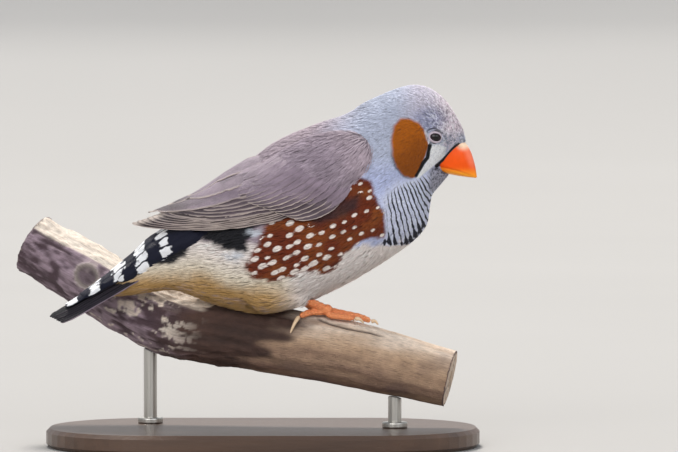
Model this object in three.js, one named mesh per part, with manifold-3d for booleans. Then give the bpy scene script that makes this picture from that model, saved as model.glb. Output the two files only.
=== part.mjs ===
// A male zebra finch, life size, perched on a short cut branch that two rods hold over a flat base.
// Millimetres, +Z up. The bird faces +X, its mid plane is Y = 0 and its right side is towards -Y.
// The origin is the centre of the base's underside.
import * as THREE from "three";
import { mergeVertices } from "three/addons/utils/BufferGeometryUtils.js";
import Module from "manifold-3d";

const wasm = await Module();
wasm.setup();

const GAP = 0.32; // kept between touching pieces

// Shape of every feather
const VANE = 0.55; // thickness
const TIP_VANE = 0.3; // thickness at the tip
const CROWN = 0.1; // rise of the middle over the edges
const ROOT_SHARE = 0.3; // width at the root, as a share of the full width
const ROOT_SUNK = 0.5; // how much deeper the root lies
const TIP_FROM = 0.6; // share of the length where the tip starts to narrow
const TIP_END = 1.02; // share where the narrowing would reach nothing, a little past the tip
const TIP_LIFT = 0.5; // share of the height over the surface that is left at the tip

// The body, as stations from the bill's base to the undertail
// back and belly are [x, z] on the mid plane, half is the half width there
const STATIONS = [
  { name: "bill base", back: [47.9, 71.5], belly: [43.6, 63.9], half: 3.7 },
  { name: "brow", back: [46.5, 76.0], belly: [42.0, 61.9], half: 5.1 },
  { name: "forehead", back: [41.8, 82.6], belly: [40.6, 60.2], half: 7.6 },
  { name: "crown", back: [35.1, 85.1], belly: [39.4, 58.6], half: 9.3 },
  { name: "nape", back: [24.9, 81.5], belly: [39.1, 55.8], half: 10.2 },
  { name: "neck", back: [19.3, 78.2], belly: [37.9, 50.8], half: 11.8 },
  { name: "shoulder", back: [12.5, 76.0], belly: [31.6, 45.2], half: 13.4 },
  { name: "back", back: [2.5, 71.6], belly: [18.0, 37.0], half: 14.4 },
  { name: "loin", back: [-6.5, 64.4], belly: [2.0, 30.8], half: 13.6 },
  { name: "rump", back: [-14.5, 57.8], belly: [-10.0, 32.8], half: 9.8 },
  { name: "tail root", back: [-21.4, 52.4], belly: [-20.0, 36.4], half: 6.4 },
  { name: "tail stump", back: [-25.4, 49.8], belly: [-27.0, 36.0], half: 4.8 },
  { name: "undertail", back: [-31.5, 44.6], belly: [-33.0, 35.2], half: 3.4 },
  { name: "undertail tip", back: [-37.0, 37.4], belly: [-38.2, 35.4], half: 1.4 },
];
const NAPE = 4;
const NECK = 5;
const TAIL_ROOT = 10;
const TAIL_STUMP = 11;
const UNDERTAIL_TIP = 13;
const SEAM = 0.07; // share of a station left open between two lengths of the body
const ROUNDNESS = 2.2; // exponent of the body's cross-section, 2 is an ellipse
const AROUND = 24; // sides of the body
const BODY_STEP = 0.25; // stations between two rings of the body

// The head is turned towards the bird's right
const HEAD_TURN = THREE.MathUtils.degToRad(9);
const HEAD_PIVOT = [28, 0]; // x, y of the upright axis that it turns about

// The bill
const BILL = {
  culmen: [[45.9, 73.8], [48.6, 70.2], [49.9, 66.7], [50.5, 63.5]], // ridge, root to tip
  mouth: [[41.4, 66.2], [45.6, 65.2], [48.4, 64.2], [50.4, 63.4]], // line where the halves meet
  gonys: [[42.4, 64.4], [45.4, 63.8], [48.2, 63.4], [50.3, 63.2]], // lower edge
  half: [4.4, 3.3, 1.9, 0.32], // half width, root to tip
  swell: 0.9, // below 1 makes the cross-section fuller than round
  lowerShare: 0.9, // width of the lower half as a share of the upper
  steps: 7,
  points: 9,
};
const NOSTRIL = { at: [45.6, 2.3, 71.0], radii: [0.75, 0.6, 0.5] };

// The eyes
const EYE = { at: [41.2, 6.0, 72.8], radius: 2.0 };
const LID_MOUND = { out: 0.5, radii: [3.2, 1.3, 2.8] }; // swelling that carries the lids
const EYE_OPENING = [1.5, 1.12]; // half length and half height between the lids
const EYE_FACING = THREE.MathUtils.degToRad(20); // how far the eyes look forward of sideways
const BALL_TURNS = 12; // sides of the eyes and of other small balls
const EYE_SLANT = THREE.MathUtils.degToRad(-12);

// The folded wings lie on an arch over the back, given at a few places along the bird
// x, height of the arch's foot, half width there and height of its ridge
const ARCH = [
  { x: -32, foot: 50.6, half: 2.8, ridge: 52.9 },
  { x: -16, foot: 50.4, half: 8.8, ridge: 58.6 },
  { x: -2, foot: 51.8, half: 13.6, ridge: 67.2 },
  { x: 12, foot: 54.4, half: 14.0, ridge: 74.6 },
  { x: 28, foot: 62.0, half: 11.0, ridge: 80.0 },
];
// Shoulder pad of small coverts and scapulars: middle seen from the side, and half length and half height
const SHOULDER_PAD = {
  at: [10.5, 66.2],
  radii: [15.5, 8.4],
  slant: 0.14,
  height: 2.7,
  depth: 2.6,
  edge: 0.1, // height of its rim
  rounding: [[0.92, 0.55], [0.72, 0.85], [0.38, 1]], // share of the radii, and of the height there
  turns: 22,
};

// Each row of wing feathers runs from its first feather to its last
// root, bend and tip are [x, z] seen from the side, lift is the height over the arch
const WING_ROWS = [
  {
    name: "primaries", count: 5, width: [3.6, 5.0], lift: [0.3, 1.3],
    root: [[16.0, 59.8], [11.0, 62.5]], bend: [[2.0, 52.8], [-1.0, 57.0]],
    tip: [[-30.6, 52.4], [-22.0, 54.8]],
  },
  {
    name: "secondaries", count: 4, width: [5.2, 6.0], lift: [1.2, 1.6],
    root: [[13.0, 60.6], [8.0, 65.0]], bend: [[0.0, 55.8], [-3.0, 60.4]],
    tip: [[-22.0, 54.6], [-17.0, 57.2]],
  },
  {
    name: "tertials", count: 3, width: [6.4, 7.4], lift: [1.7, 2.1],
    root: [[6.0, 64.0], [2.5, 67.6]], bend: [[-6.0, 58.0], [-5.0, 64.8]],
    tip: [[-26.6, 54.0], [-17.5, 58.0]],
  },
  {
    name: "greater coverts", count: 5, width: [3.4, 5.4], lift: [1.5, 2.4],
    root: [[18.5, 61.4], [6.0, 67.0]], bend: [[14.0, 55.2], [1.0, 63.6]],
    tip: [[3.0, 54.4], [-7.0, 60.2]],
  },
];
const RIDGE_CLEARANCE = 0.45; // kept between a wing and the mid plane
const ARCH_STEP = 0.3; // over which the arch's slope is measured
// Shares of a feather's length where it has a section
const VANE_STOPS = [0, 0.45, 0.78, 0.93, 1];
const TAIL_STOPS = [0, 0.72, 0.93, 1];

// The tail slopes back and down from its root
const TAIL = {
  root: [-20.7, 47.6], // x, z
  slope: THREE.MathUtils.degToRad(29.4),
  length: 34.0,
  droop: 0.55, // fall to each side for a unit of width, so that the tail is roofed
  pairs: 6,
  inner: 0.8, // how far out the middle pair lies
  spread: 0.62, // sideways step between feather tips
  width: 3.5,
  shortening: 0.35, // each pair is this much shorter than the one above it
};
const TAIL_ROOTS = { back: 0.5, first: 0.5, step: 0.2 }; // where the tail feathers start, and how far apart
const TAIL_BEND = { along: 0.5, spread: 0.65 }; // shares of the length and the spread at a feather's bend
const TAIL_TIERS = 0.28; // each pair lies this much under the one above it
// Rows of long barred coverts over the tail: how far back they reach and how far out they lie
const TAIL_COVERTS = [
  { reach: 27.5, sides: [1.0, 2.6], width: 3.0, lift: 1.15 },
  { reach: 20.0, sides: [1.2, 3.2], width: 3.4, lift: 1.6 },
  { reach: 12.5, sides: [1.3, 3.8], width: 3.8, lift: 2.05 },
];
// Where a long covert starts, as a place along the tail and a share of how far out it lies, and its bend
const COVERT = { root: [1.2, 0.8], bend: [0.5, 1.1], shortening: 0.6, middle: 2, middleLift: 0.2 };
const COVERTS_FROM = 0.95; // height over the tail's surface where the coverts' stump starts
const TAIL_SLAB = { reach: 14, from: -12, to: 30, low: -30, high: 20 }; // past everything near the tail
const TAIL_TOP = 0.6;
const TAIL_UNDER = -2.8; // heights of the top and the underside of the tail's stump
const UNDERTAIL_TOP = -3.3; // height of the face where the undertail meets the tail

// The perch, a crooked cut branch: [x, y, z] and radius at a few places
const PERCH = [
  { at: [-55.3, 21.0, 46.8], radius: 7.6 },
  { at: [-44.2, 17.0, 40.7], radius: 8.0 },
  { at: [-23.0, 9.2, 29.4], radius: 8.3 },
  { at: [-3.0, 3.4, 25.6], radius: 8.0 },
  { at: [20.5, -1.5, 21.8], radius: 7.9 },
  { at: [44.0, -5.0, 16.2], radius: 6.9 },
];
// Swellings: place along x, angle from the top towards the camera side in degrees, size and height
const KNOTS = [
  { x: -42.0, angle: 92, size: 3.4, height: 1.3 },
  { x: -19.0, angle: 120, size: 7.0, height: 1.2 },
  { x: -26.0, angle: -60, size: 6.0, height: 0.9 },
  { x: 29.0, angle: 130, size: 4.5, height: 0.8 },
];
const PERCH_STEPS = 24;
const PERCH_SIDES = 16;

// The feet: places on the perch are [x, angle from the top towards the camera side in degrees]
const FEET = {
  r: {
    thigh: [[1.0, -7.0, 36.6, 5.0], [9.2, -5.6, 35.0, 2.2]], // x, y, z, radius at each end
    hock: [9.0, -5.3, 35.2],
    base: [14.1, 14],
    toes: {
      middle: {
        path: [[15.0, 9], [18.2, 6], [21.4, 1], [23.4, -2]], claw: [25.2, -4], radius: 0.92, scutes: 8,
      },
      inner: { path: [[14.8, -3], [17.4, -7], [20.4, -11]], claw: [22.6, -15], radius: 0.82, scutes: 6 },
      outer: { path: [[15.0, 23], [17.6, 21], [20.2, 17]], claw: [22.4, 15], radius: 0.82, scutes: 6 },
      hind: { path: [[12.8, 19], [10.8, 25], [8.9, 38]], claw: [7.7, 68], radius: 0.95, scutes: 6 },
    },
  },
  l: {
    thigh: [[1.0, 7.2, 36.8, 5.0], [8.6, 6.4, 35.0, 2.2]],
    hock: [8.2, 6.2, 35.0],
    base: [12.0, -44],
    toes: {
      middle: { path: [[12.9, -44], [16.2, -45], [19.4, -45]], claw: [21.6, -46], radius: 0.92, scutes: 7 },
      inner: { path: [[12.6, -32], [15.0, -28], [17.6, -26]], claw: [19.4, -26], radius: 0.82, scutes: 6 },
      outer: { path: [[12.4, -56], [14.6, -62], [17.0, -68]], claw: [19.0, -76], radius: 0.82, scutes: 6 },
      hind: { path: [[10.6, -50], [8.4, -54], [6.2, -62]], claw: [4.6, -80], radius: 0.95, scutes: 6 },
    },
  },
};
const TARSUS = { radius: 1.0, scutes: 6 };
const THIGH_SIDES = 14;
const FOOT_BALL = 1.35;
const SKIN_SIDES = 8;
const SCUTE = { crest: 1.1, groove: 0.95 }; // radius over a plate and between two, as shares
const TOE_END = { taper: 0.72, tip: 0.6, clear: 0.82, from: 0.97 }; // shares of a toe's radius at its end
const CLAW_GAP = 0.35; // between a toe and its claw
const CLAW = { root: 0.5, tip: 0.12, crest: 0.5, sides: 7 }; // radii, height of the bend, and sides

// The display stand
const BASE = { length: 102, width: 54, height: 4.5, corner: 25, bevel: 0.9 };
const RODS = { a: -27, b: 31 }; // x of each rod
const ROD_RADIUS = 1.6;
const ROD_SIDES = 14;
const ROD_REACH = 30; // rods are drawn this long, then cut by the perch

// Colours
const COLOURS = {
  grey: 0x8f94a3, brown: 0x85787a, black: 0x14161c, cream: 0xe4d6bd, orange: 0xf2560f,
  flesh: 0xe8926a, claw: 0xe2b9a2, eye: 0x120a0a, bark: 0xa08a74, stand: 0x3a2a20, rod: 0x9c9a94,
};

const Vec = THREE.Vector3;

// Solids and meshes

// A closed surface from points and triangles, turned to face out.
function closed(points, triangles) {
  let volume = 0;
  for (const [a, b, c] of triangles) {
    volume += points[a].dot(new Vec().crossVectors(points[b], points[c]));
  }
  const flat = triangles.flatMap(([a, b, c]) => (volume < 0 ? [a, c, b] : [a, b, c]));
  const geometry = new THREE.BufferGeometry();
  geometry.setAttribute("position", new THREE.Float32BufferAttribute(points.flatMap((p) => p.toArray()), 3));
  geometry.setIndex(flat);
  return solid(geometry);
}

function solid(geometry) {
  const bare = new THREE.BufferGeometry();
  const source = geometry.index ? geometry.toNonIndexed() : geometry;
  bare.setAttribute("position", source.getAttribute("position"));
  const merged = mergeVertices(bare, 1e-4);
  return new wasm.Manifold(new wasm.Mesh({
    numProp: 3,
    vertProperties: new Float32Array(merged.attributes.position.array),
    triVerts: new Uint32Array(merged.index.array),
  }));
}

// Rings of points, the same number in each, joined by faces and closed at both ends.
function loft(rings) {
  const count = rings[0].length;
  const points = rings.flat();
  const triangles = [];
  for (let i = 0; i + 1 < rings.length; i++) {
    for (let j = 0; j < count; j++) {
      const a = i * count + j;
      const b = i * count + ((j + 1) % count);
      triangles.push([a, b, a + count], [b, b + count, a + count]);
    }
  }
  [0, rings.length - 1].forEach((i, end) => {
    const middle = new Vec();
    rings[i].forEach((p) => middle.addScaledVector(p, 1 / count));
    points.push(middle);
    for (let j = 0; j < count; j++) {
      const pair = [i * count + j, i * count + ((j + 1) % count)];
      triangles.push(end ? [pair[0], pair[1], points.length - 1] : [pair[1], pair[0], points.length - 1]);
    }
  });
  return closed(points, triangles);
}

function largest(shape) {
  return shape.decompose().sort((a, b) => b.volume() - a.volume())[0];
}

function join(shapes) {
  return shapes.reduce((sum, shape) => sum.add(shape));
}

function ball(centre, radii) {
  const geometry = new THREE.SphereGeometry(1, BALL_TURNS, Math.round(BALL_TURNS * 0.6));
  geometry.scale(...radii);
  geometry.translate(...centre);
  return solid(geometry);
}

const group = new THREE.Group();

function node(name, shape, colour, roughness = 0.85, metalness = 0) {
  const mesh = shape.getMesh();
  const geometry = new THREE.BufferGeometry();
  geometry.setAttribute("position", new THREE.BufferAttribute(new Float32Array(mesh.vertProperties), 3));
  geometry.setIndex(new THREE.BufferAttribute(new Uint32Array(mesh.triVerts), 1));
  geometry.computeVertexNormals();
  const material = new THREE.MeshStandardMaterial({ color: COLOURS[colour], roughness, metalness });
  const made = new THREE.Mesh(geometry, material);
  made.name = name;
  group.add(made);
  return made;
}

// Values given at whole stations, read smoothly between them.
function smooth(values, s) {
  const last = values.length - 1;
  const i = Math.min(Math.max(Math.floor(s), 0), last - 1);
  const f = s - i;
  const at = (k) => values[Math.min(Math.max(k, 0), last)];
  const [p, q, r, t] = [at(i - 1), at(i), at(i + 1), at(i + 2)];
  return q + 0.5 * f * (r - p + f * (2 * p - 5 * q + 4 * r - t + f * (3 * (q - r) + t - p)));
}

function mix(a, b, share) {
  return a + (b - a) * share;
}

function mixAll(pair, share) {
  return pair[0].map((value, k) => mix(value, pair[1][k], share));
}

// The body

function turned(point, share) {
  const angle = -HEAD_TURN * share;
  const x = point.x - HEAD_PIVOT[0];
  const y = point.y - HEAD_PIVOT[1];
  point.x = HEAD_PIVOT[0] + x * Math.cos(angle) - y * Math.sin(angle);
  point.y = HEAD_PIVOT[1] + x * Math.sin(angle) + y * Math.cos(angle);
  return point;
}

function headShare(s) {
  return 1 - THREE.MathUtils.smoothstep(s, NAPE - 1, NECK + 1);
}

function bodyRing(s, grow) {
  const at = (key, k) => smooth(STATIONS.map((station) => station[key][k]), s);
  const back = new Vec(at("back", 0), 0, at("back", 1));
  const belly = new Vec(at("belly", 0), 0, at("belly", 1));
  const half = smooth(STATIONS.map((station) => station.half), s) + grow;
  const middle = back.clone().add(belly).multiplyScalar(0.5);
  const up = back.sub(middle);
  up.setLength(up.length() + grow);
  return Array.from({ length: AROUND }, (_, j) => {
    const angle = (2 * Math.PI * j) / AROUND;
    const level = Math.sign(Math.cos(angle)) * Math.abs(Math.cos(angle)) ** (2 / ROUNDNESS);
    const side = Math.sign(Math.sin(angle)) * Math.abs(Math.sin(angle)) ** (2 / ROUNDNESS);
    const point = middle.clone().addScaledVector(up, level);
    point.y = side * half;
    return turned(point, headShare(s));
  });
}

function body(from, to, grow = 0) {
  const count = Math.round((to - from) / BODY_STEP);
  return loft(Array.from({ length: count + 1 }, (_, i) => bodyRing(mix(from, to, i / count), grow)));
}

// The head with its bill and eyes

function billHalf(upper, grow) {
  const { steps, points } = BILL;
  const along = (line, k, s) => smooth(line.map((p) => p[k]), s);
  const rings = Array.from({ length: steps + 1 }, (_, i) => {
    const s = ((BILL.half.length - 1) * i) / steps;
    const edge = upper ? BILL.culmen : BILL.gonys;
    const mouth = new Vec(along(BILL.mouth, 0, s), 0, along(BILL.mouth, 1, s));
    const rim = new Vec(along(edge, 0, s), 0, along(edge, 1, s));
    const out = rim.sub(mouth);
    const split = out.clone().setLength(GAP / 2 - grow);
    out.setLength(out.length() + grow);
    const half = smooth(BILL.half, s) * (upper ? 1 : BILL.lowerShare) + grow;
    return Array.from({ length: points }, (_, j) => {
      const angle = (Math.PI * j) / (points - 1);
      const level = Math.sin(angle) ** BILL.swell;
      const point = mouth.clone().addScaledVector(out, level);
      if (j === 0 || j === points - 1) point.add(split);
      point.y = Math.cos(angle) * half;
      return turned(point, 1);
    });
  });
  return loft(rings);
}

// The two places on the turned head, right then left, of something given for the left side.
function atHead({ at: [x, y, z] }) {
  return [-1, 1].map((side) => turned(new Vec(x, side * y, z), 1));
}

const torsoGrown = body(NECK - SEAM, TAIL_ROOT + SEAM, GAP);
const neckGrown = body(NAPE - SEAM, NECK, GAP);

let head = body(0, NAPE - SEAM);
const bill = { upper: billHalf(true, 0), lower: billHalf(false, 0) };
const socket = billHalf(true, GAP).add(billHalf(false, GAP));
head = head.subtract(socket);

const eyes = atHead(EYE);

// A shape made round the origin, looking along Y, set over one eye and facing out of it.
function atEye(geometry, centre) {
  const side = Math.sign(centre.y);
  geometry.rotateY(-EYE_SLANT);
  if (side < 0) geometry.rotateX(Math.PI).rotateY(-2 * EYE_SLANT);
  geometry.rotateZ(-side * EYE_FACING - HEAD_TURN);
  geometry.translate(...centre.toArray());
  return solid(geometry);
}

eyes.forEach((centre) => {
  const mound = new THREE.SphereGeometry(1, BALL_TURNS + 4, BALL_TURNS - 3);
  mound.scale(...LID_MOUND.radii).translate(0, LID_MOUND.out, 0);
  head = head.add(atEye(mound, centre));
});
eyes.forEach((centre) => {
  const hollow = EYE.radius + GAP;
  const reach = 3 * EYE.radius;
  const opening = new THREE.CylinderGeometry(1, 1, reach, BALL_TURNS + 2);
  opening.scale(EYE_OPENING[0], 1, EYE_OPENING[1]).translate(0, reach / 2, 0);
  head = head.subtract(ball(centre.toArray(), [hollow, hollow, hollow]).add(atEye(opening, centre)));
});

node("head", largest(head), "grey");
node("neck", body(NAPE, NECK - SEAM), "grey");
const nostrils = atHead(NOSTRIL).map((point) => ball(point.toArray(), NOSTRIL.radii));
node("bill_upper", largest(bill.upper.subtract(join(nostrils))), "orange", 0.35);
node("bill_lower", bill.lower, "orange", 0.35);
["r", "l"].forEach((side, i) => {
  node("eye_" + side, ball(eyes[i].toArray(), [EYE.radius, EYE.radius, EYE.radius]), "eye", 0.08);
});

// The perch

const perchCurve = new THREE.CatmullRomCurve3(PERCH.map((place) => new Vec(...place.at)));

function perchFrame(t) {
  const centre = perchCurve.getPoint(t);
  const along = perchCurve.getTangent(t);
  const side = new Vec().crossVectors(along, new Vec(0, 0, 1)).normalize();
  if (side.y > 0) side.negate();
  const up = new Vec().crossVectors(side, along).normalize();
  if (up.z < 0) up.negate();
  return { centre, side, up, radius: smooth(PERCH.map((place) => place.radius), t * (PERCH.length - 1)) };
}

function perchAt(x) {
  let low = 0;
  let high = 1;
  for (let i = 0; i < 30; i++) {
    const middle = (low + high) / 2;
    if (perchCurve.getPoint(middle).x < x) low = middle;
    else high = middle;
  }
  return low;
}

function knotHeight(x, angle) {
  let height = 0;
  for (const knot of KNOTS) {
    const turn = Math.abs(((angle - knot.angle + 540) % 360) - 180);
    const across = THREE.MathUtils.degToRad(turn) * PERCH[2].radius;
    height += knot.height * Math.exp(-((x - knot.x) ** 2 + across ** 2) / knot.size ** 2);
  }
  return height;
}

// The point at a distance from a centre, at an angle from one direction towards another.
function around(centre, up, side, out, angle) {
  const point = centre.clone().addScaledVector(up, out * Math.cos(angle));
  return point.addScaledVector(side, out * Math.sin(angle));
}

// A point over the perch's bark: x along it, an angle from its top, and a height.
function onPerch(x, angle, height) {
  const { centre, side, up, radius } = perchFrame(perchAt(x));
  return around(centre, up, side, radius + height, THREE.MathUtils.degToRad(angle));
}

function perch(grow) {
  const rings = Array.from({ length: PERCH_STEPS + 1 }, (_, i) => {
    const { centre, side, up, radius } = perchFrame(i / PERCH_STEPS);
    return Array.from({ length: PERCH_SIDES }, (_, j) => {
      const degrees = (360 * j) / PERCH_SIDES;
      const out = radius + grow + knotHeight(centre.x, degrees);
      return around(centre, up, side, out, THREE.MathUtils.degToRad(degrees));
    });
  });
  return loft(rings);
}

const perchGrown = perch(GAP);
node("perch", perch(0), "bark");

// Legs and feet

// A tube along points with a radius for each share of its length and scutes over its upper side.
function limb(points, radiusAt, upAt, scutes, sides = SKIN_SIDES) {
  const curve = new THREE.CatmullRomCurve3(points);
  const count = Math.max(4, 2 * scutes);
  const rings = Array.from({ length: count + 1 }, (_, i) => {
    const t = i / count;
    const centre = curve.getPoint(t);
    const along = curve.getTangent(t);
    const up = upAt(centre);
    up.addScaledVector(along, -up.dot(along)).normalize();
    const side = new Vec().crossVectors(along, up);
    return Array.from({ length: sides }, (_, j) => {
      const angle = (2 * Math.PI * j) / sides;
      const plate = scutes && Math.cos(angle) > -0.1 ? (i % 2 ? SCUTE.crest : SCUTE.groove) : 1;
      return around(centre, up, side, radiusAt(t) * plate, angle);
    });
  });
  return loft(rings);
}

function fromPerch(point) {
  const { centre } = perchFrame(perchAt(point.x));
  return point.clone().sub(centre).normalize();
}

function toeRadius(radius) {
  return (t) => radius * mix(1, TOE_END.taper, t) * (t > TOE_END.from ? TOE_END.tip : 1);
}

const torso = body(NECK, TAIL_ROOT).subtract(perchGrown);

for (const [key, foot] of Object.entries(FEET)) {
  const [root, end] = foot.thigh;
  const thighAxis = [new Vec(...root), new Vec(...root).lerp(new Vec(...end), 0.5), new Vec(...end)];
  const skyward = () => new Vec(0, 0, 1);
  const base = onPerch(...foot.base, FOOT_BALL + GAP);
  const hock = new Vec(...foot.hock);
  const shinAxis = [hock, hock.clone().lerp(base, 0.5), base];
  const shin = (grow) => limb(shinAxis, () => TARSUS.radius + grow, skyward, grow ? 0 : TARSUS.scutes)
    .add(ball(base.toArray(), [FOOT_BALL + grow, FOOT_BALL + grow, FOOT_BALL + grow]));
  const tarsusGrown = shin(GAP);
  const thigh = limb(thighAxis, (t) => mix(root[3], end[3], t), skyward, 0, THIGH_SIDES)
    .add(ball(root.slice(0, 3), [root[3], root[3], root[3]]));
  const cutThigh = thigh.subtract(torsoGrown).subtract(perchGrown).subtract(tarsusGrown);
  const thighGrown = limb(thighAxis, (t) => mix(root[3], end[3], t) + GAP, skyward, 0, THIGH_SIDES);
  node("thigh_" + key, largest(cutThigh), "cream");
  node("tarsus_" + key, largest(shin(0).subtract(torsoGrown).subtract(perchGrown)), "flesh", 0.6);
  let taken = tarsusGrown;
  for (const [toe, shape] of Object.entries(foot.toes)) {
    const { radius, scutes } = shape;
    const places = shape.path.map(([x, angle], i) => onPerch(x, angle, toeRadius(radius)(i / 3) + GAP));
    const path = [base.clone().lerp(places[0], 0.5), ...places];
    const toeSolid = limb(path, toeRadius(radius), fromPerch, scutes);
    node(`toe_${toe}_${key}`, largest(toeSolid.subtract(taken).subtract(perchGrown)), "flesh", 0.6);
    const clearance = (t) => radius * mix(SCUTE.crest, TOE_END.clear, t) + GAP;
    taken = taken.add(limb(path, clearance, fromPerch, 0));
    const last = path[path.length - 1];
    const before = path[path.length - 2];
    const onward = last.clone().sub(before).normalize();
    const clawTip = onPerch(...shape.claw, GAP + CLAW.tip);
    const clawStart = last.clone().addScaledVector(onward, CLAW_GAP);
    const crest = clawStart.clone().lerp(clawTip, 0.5).addScaledVector(fromPerch(clawStart), CLAW.crest);
    const clawRadius = (t) => mix(CLAW.root, CLAW.tip, t);
    const claw = limb([clawStart, crest, clawTip], clawRadius, fromPerch, 0, CLAW.sides);
    node(`claw_${toe}_${key}`, largest(claw.subtract(perchGrown)), "claw", 0.4);
  }
}

// Tail, with its coverts

// A point of the tail: distance back from the root, sideways place, and height over the roofed surface.
function onTail(back, side, height) {
  const { root, slope, droop } = TAIL;
  const rise = height - droop * Math.abs(side);
  return new Vec(
    root[0] - back * Math.cos(slope) - rise * Math.sin(slope),
    side,
    root[1] - back * Math.sin(slope) + rise * Math.cos(slope),
  );
}

// The part of a shape between two heights over the tail's surface.
function tailSlab(low, high) {
  const { reach, from, to } = TAIL_SLAB;
  const ring = (back) => [[0, low], [reach, low], [reach, high], [0, high], [-reach, high], [-reach, low]]
    .map(([side, height]) => onTail(back, side, height));
  return loft([ring(from), ring(to)]);
}

// Feathers

// A feather as a thin curved plate. root, bend and tip are places that onto carries to a surface's own
// coordinates, and place puts a point of that surface, with its height, in space.
function vane({ root, bend, tip, width, lift, onto = (point) => point, stops = VANE_STOPS }, place) {
  const curve = new THREE.QuadraticBezierCurve(
    new THREE.Vector2(...root), new THREE.Vector2(...bend), new THREE.Vector2(...tip),
  );
  const across = [-1, 0, 1];
  const on = (t) => new THREE.Vector2(...onto(curve.getPoint(t).toArray()));
  const sheet = (face) => stops.map((t) => {
    const centre = on(t);
    const along = on(Math.min(t + 0.02, 1)).sub(on(Math.max(t - 0.02, 0))).normalize();
    const tipShare = Math.max(0, t - TIP_FROM) / (TIP_END - TIP_FROM);
    const half = (width / 2) * Math.min(1, ROOT_SHARE + 2 * t) * Math.sqrt(1 - tipShare ** 2);
    const thick = t > 0.9 ? TIP_VANE : VANE;
    const sunk = ROOT_SUNK * Math.max(0, 1 - 4 * t);
    return across.map((j) => place(
      centre.x - along.y * half * j,
      centre.y + along.x * half * j,
      lift * mix(1, TIP_LIFT, t) - sunk + (j === 0 ? CROWN : 0) + (face * thick) / 2,
    ));
  });
  const steps = stops.length - 1;
  const points = [...sheet(1).flat(), ...sheet(-1).flat()];
  const bottom = points.length / 2;
  const triangles = [];
  for (let i = 0; i < steps; i++) {
    for (let j = 0; j < 2; j++) {
      const a = 3 * i + j;
      for (const [p, q, r] of [[a, a + 1, a + 4], [a, a + 4, a + 3]]) {
        triangles.push([p, q, r], [p + bottom, r + bottom, q + bottom]);
      }
    }
  }
  const right = Array.from({ length: steps + 1 }, (_, i) => 3 * i + 2);
  const left = Array.from({ length: steps + 1 }, (_, i) => 3 * (steps - i));
  const rim = [1, ...right, 3 * steps + 1, ...left];
  rim.forEach((p, k) => {
    const q = rim[(k + 1) % rim.length];
    triangles.push([q, p, p + bottom], [q, p + bottom, q + bottom]);
  });
  return closed(points, triangles);
}

function row(spec, place) {
  return Array.from({ length: spec.count }, (_, i) => {
    const share = spec.count > 1 ? i / (spec.count - 1) : 0;
    return vane({
      root: mixAll(spec.root, share),
      bend: mixAll(spec.bend, share),
      tip: mixAll(spec.tip, share),
      width: mix(...spec.width, share),
      lift: mix(...spec.lift, share),
      onto: onArch,
    }, place);
  });
}

const rear = body(TAIL_ROOT + SEAM, TAIL_STUMP);
const tailVanes = [];
for (let pair = 0; pair < TAIL.pairs; pair++) {
  for (const side of [-1, 1]) {
    tailVanes.push(vane({
      root: [TAIL_ROOTS.back, side * (TAIL_ROOTS.first + TAIL_ROOTS.step * pair)],
      bend: [TAIL.length * TAIL_BEND.along, side * (TAIL.inner + TAIL_BEND.spread * TAIL.spread * pair)],
      tip: [TAIL.length - TAIL.shortening * pair, side * (TAIL.inner + TAIL.spread * pair)],
      width: TAIL.width,
      lift: -TAIL_TIERS * pair,
      stops: TAIL_STOPS,
    }, onTail));
  }
}
const tail = join(tailVanes).add(rear.intersect(tailSlab(TAIL_UNDER, TAIL_TOP)));
node("tail", largest(tail.subtract(torsoGrown)), "black");

function covertVane({ reach, width, lift }, side, hand) {
  return vane({
    root: [COVERT.root[0], hand * side * COVERT.root[1]],
    bend: [reach * COVERT.bend[0], hand * side * COVERT.bend[1]],
    tip: [reach - side * COVERT.shortening, hand * side],
    width,
    lift: lift + (side < COVERT.middle ? COVERT.middleLift : 0),
    stops: TAIL_STOPS,
  }, onTail);
}

const covertVanes = TAIL_COVERTS.flatMap((tier) => (
  tier.sides.flatMap((side) => [-1, 1].map((hand) => covertVane(tier, side, hand)))
));
const coverts = join(covertVanes).add(rear.intersect(tailSlab(COVERTS_FROM, TAIL_SLAB.high)));
const tailZone = tailSlab(TAIL_UNDER, TAIL_TOP + GAP / 6).add(torsoGrown);
node("uppertail_coverts", largest(coverts.subtract(tailZone)), "black");

const under = body(TAIL_ROOT + SEAM, UNDERTAIL_TIP).intersect(tailSlab(TAIL_SLAB.low, UNDERTAIL_TOP));
node("undertail", largest(under.subtract(perchGrown)), "cream");

// Wings

// The arch that a folded wing lies on, at one x: its foot, half width, rise and mean radius.
function archAt(x) {
  let i = 0;
  while (i < ARCH.length - 2 && x > ARCH[i + 1].x) i++;
  const s = i + (x - ARCH[i].x) / (ARCH[i + 1].x - ARCH[i].x);
  const at = (key) => smooth(ARCH.map((place) => place[key]), Math.min(Math.max(s, 0), ARCH.length - 1));
  const rise = at("ridge") - at("foot");
  return { foot: at("foot"), half: at("half"), rise, radius: (at("half") + rise) / 2 };
}

// A point of the arch: x, way round from the ridge, and height over the surface.
function onWing(side) {
  const point = (x, round) => {
    const { foot, half, rise, radius } = archAt(x);
    const angle = Math.max(round, RIDGE_CLEARANCE) / radius;
    const level = Math.sign(Math.cos(angle)) * Math.abs(Math.cos(angle)) ** (2 / ROUNDNESS);
    return new Vec(x, side * half * Math.sin(angle) ** (2 / ROUNDNESS), foot + rise * level);
  };
  return (x, round, height) => {
    const forward = point(x + ARCH_STEP, round).sub(point(x - ARCH_STEP, round));
    const low = Math.max(round, 1);
    const down = point(x, low + ARCH_STEP).sub(point(x, low - ARCH_STEP));
    const out = new Vec().crossVectors(forward, down).normalize();
    if (out.y * side < 0) out.negate();
    return point(x, round).addScaledVector(out, height);
  };
}

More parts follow.
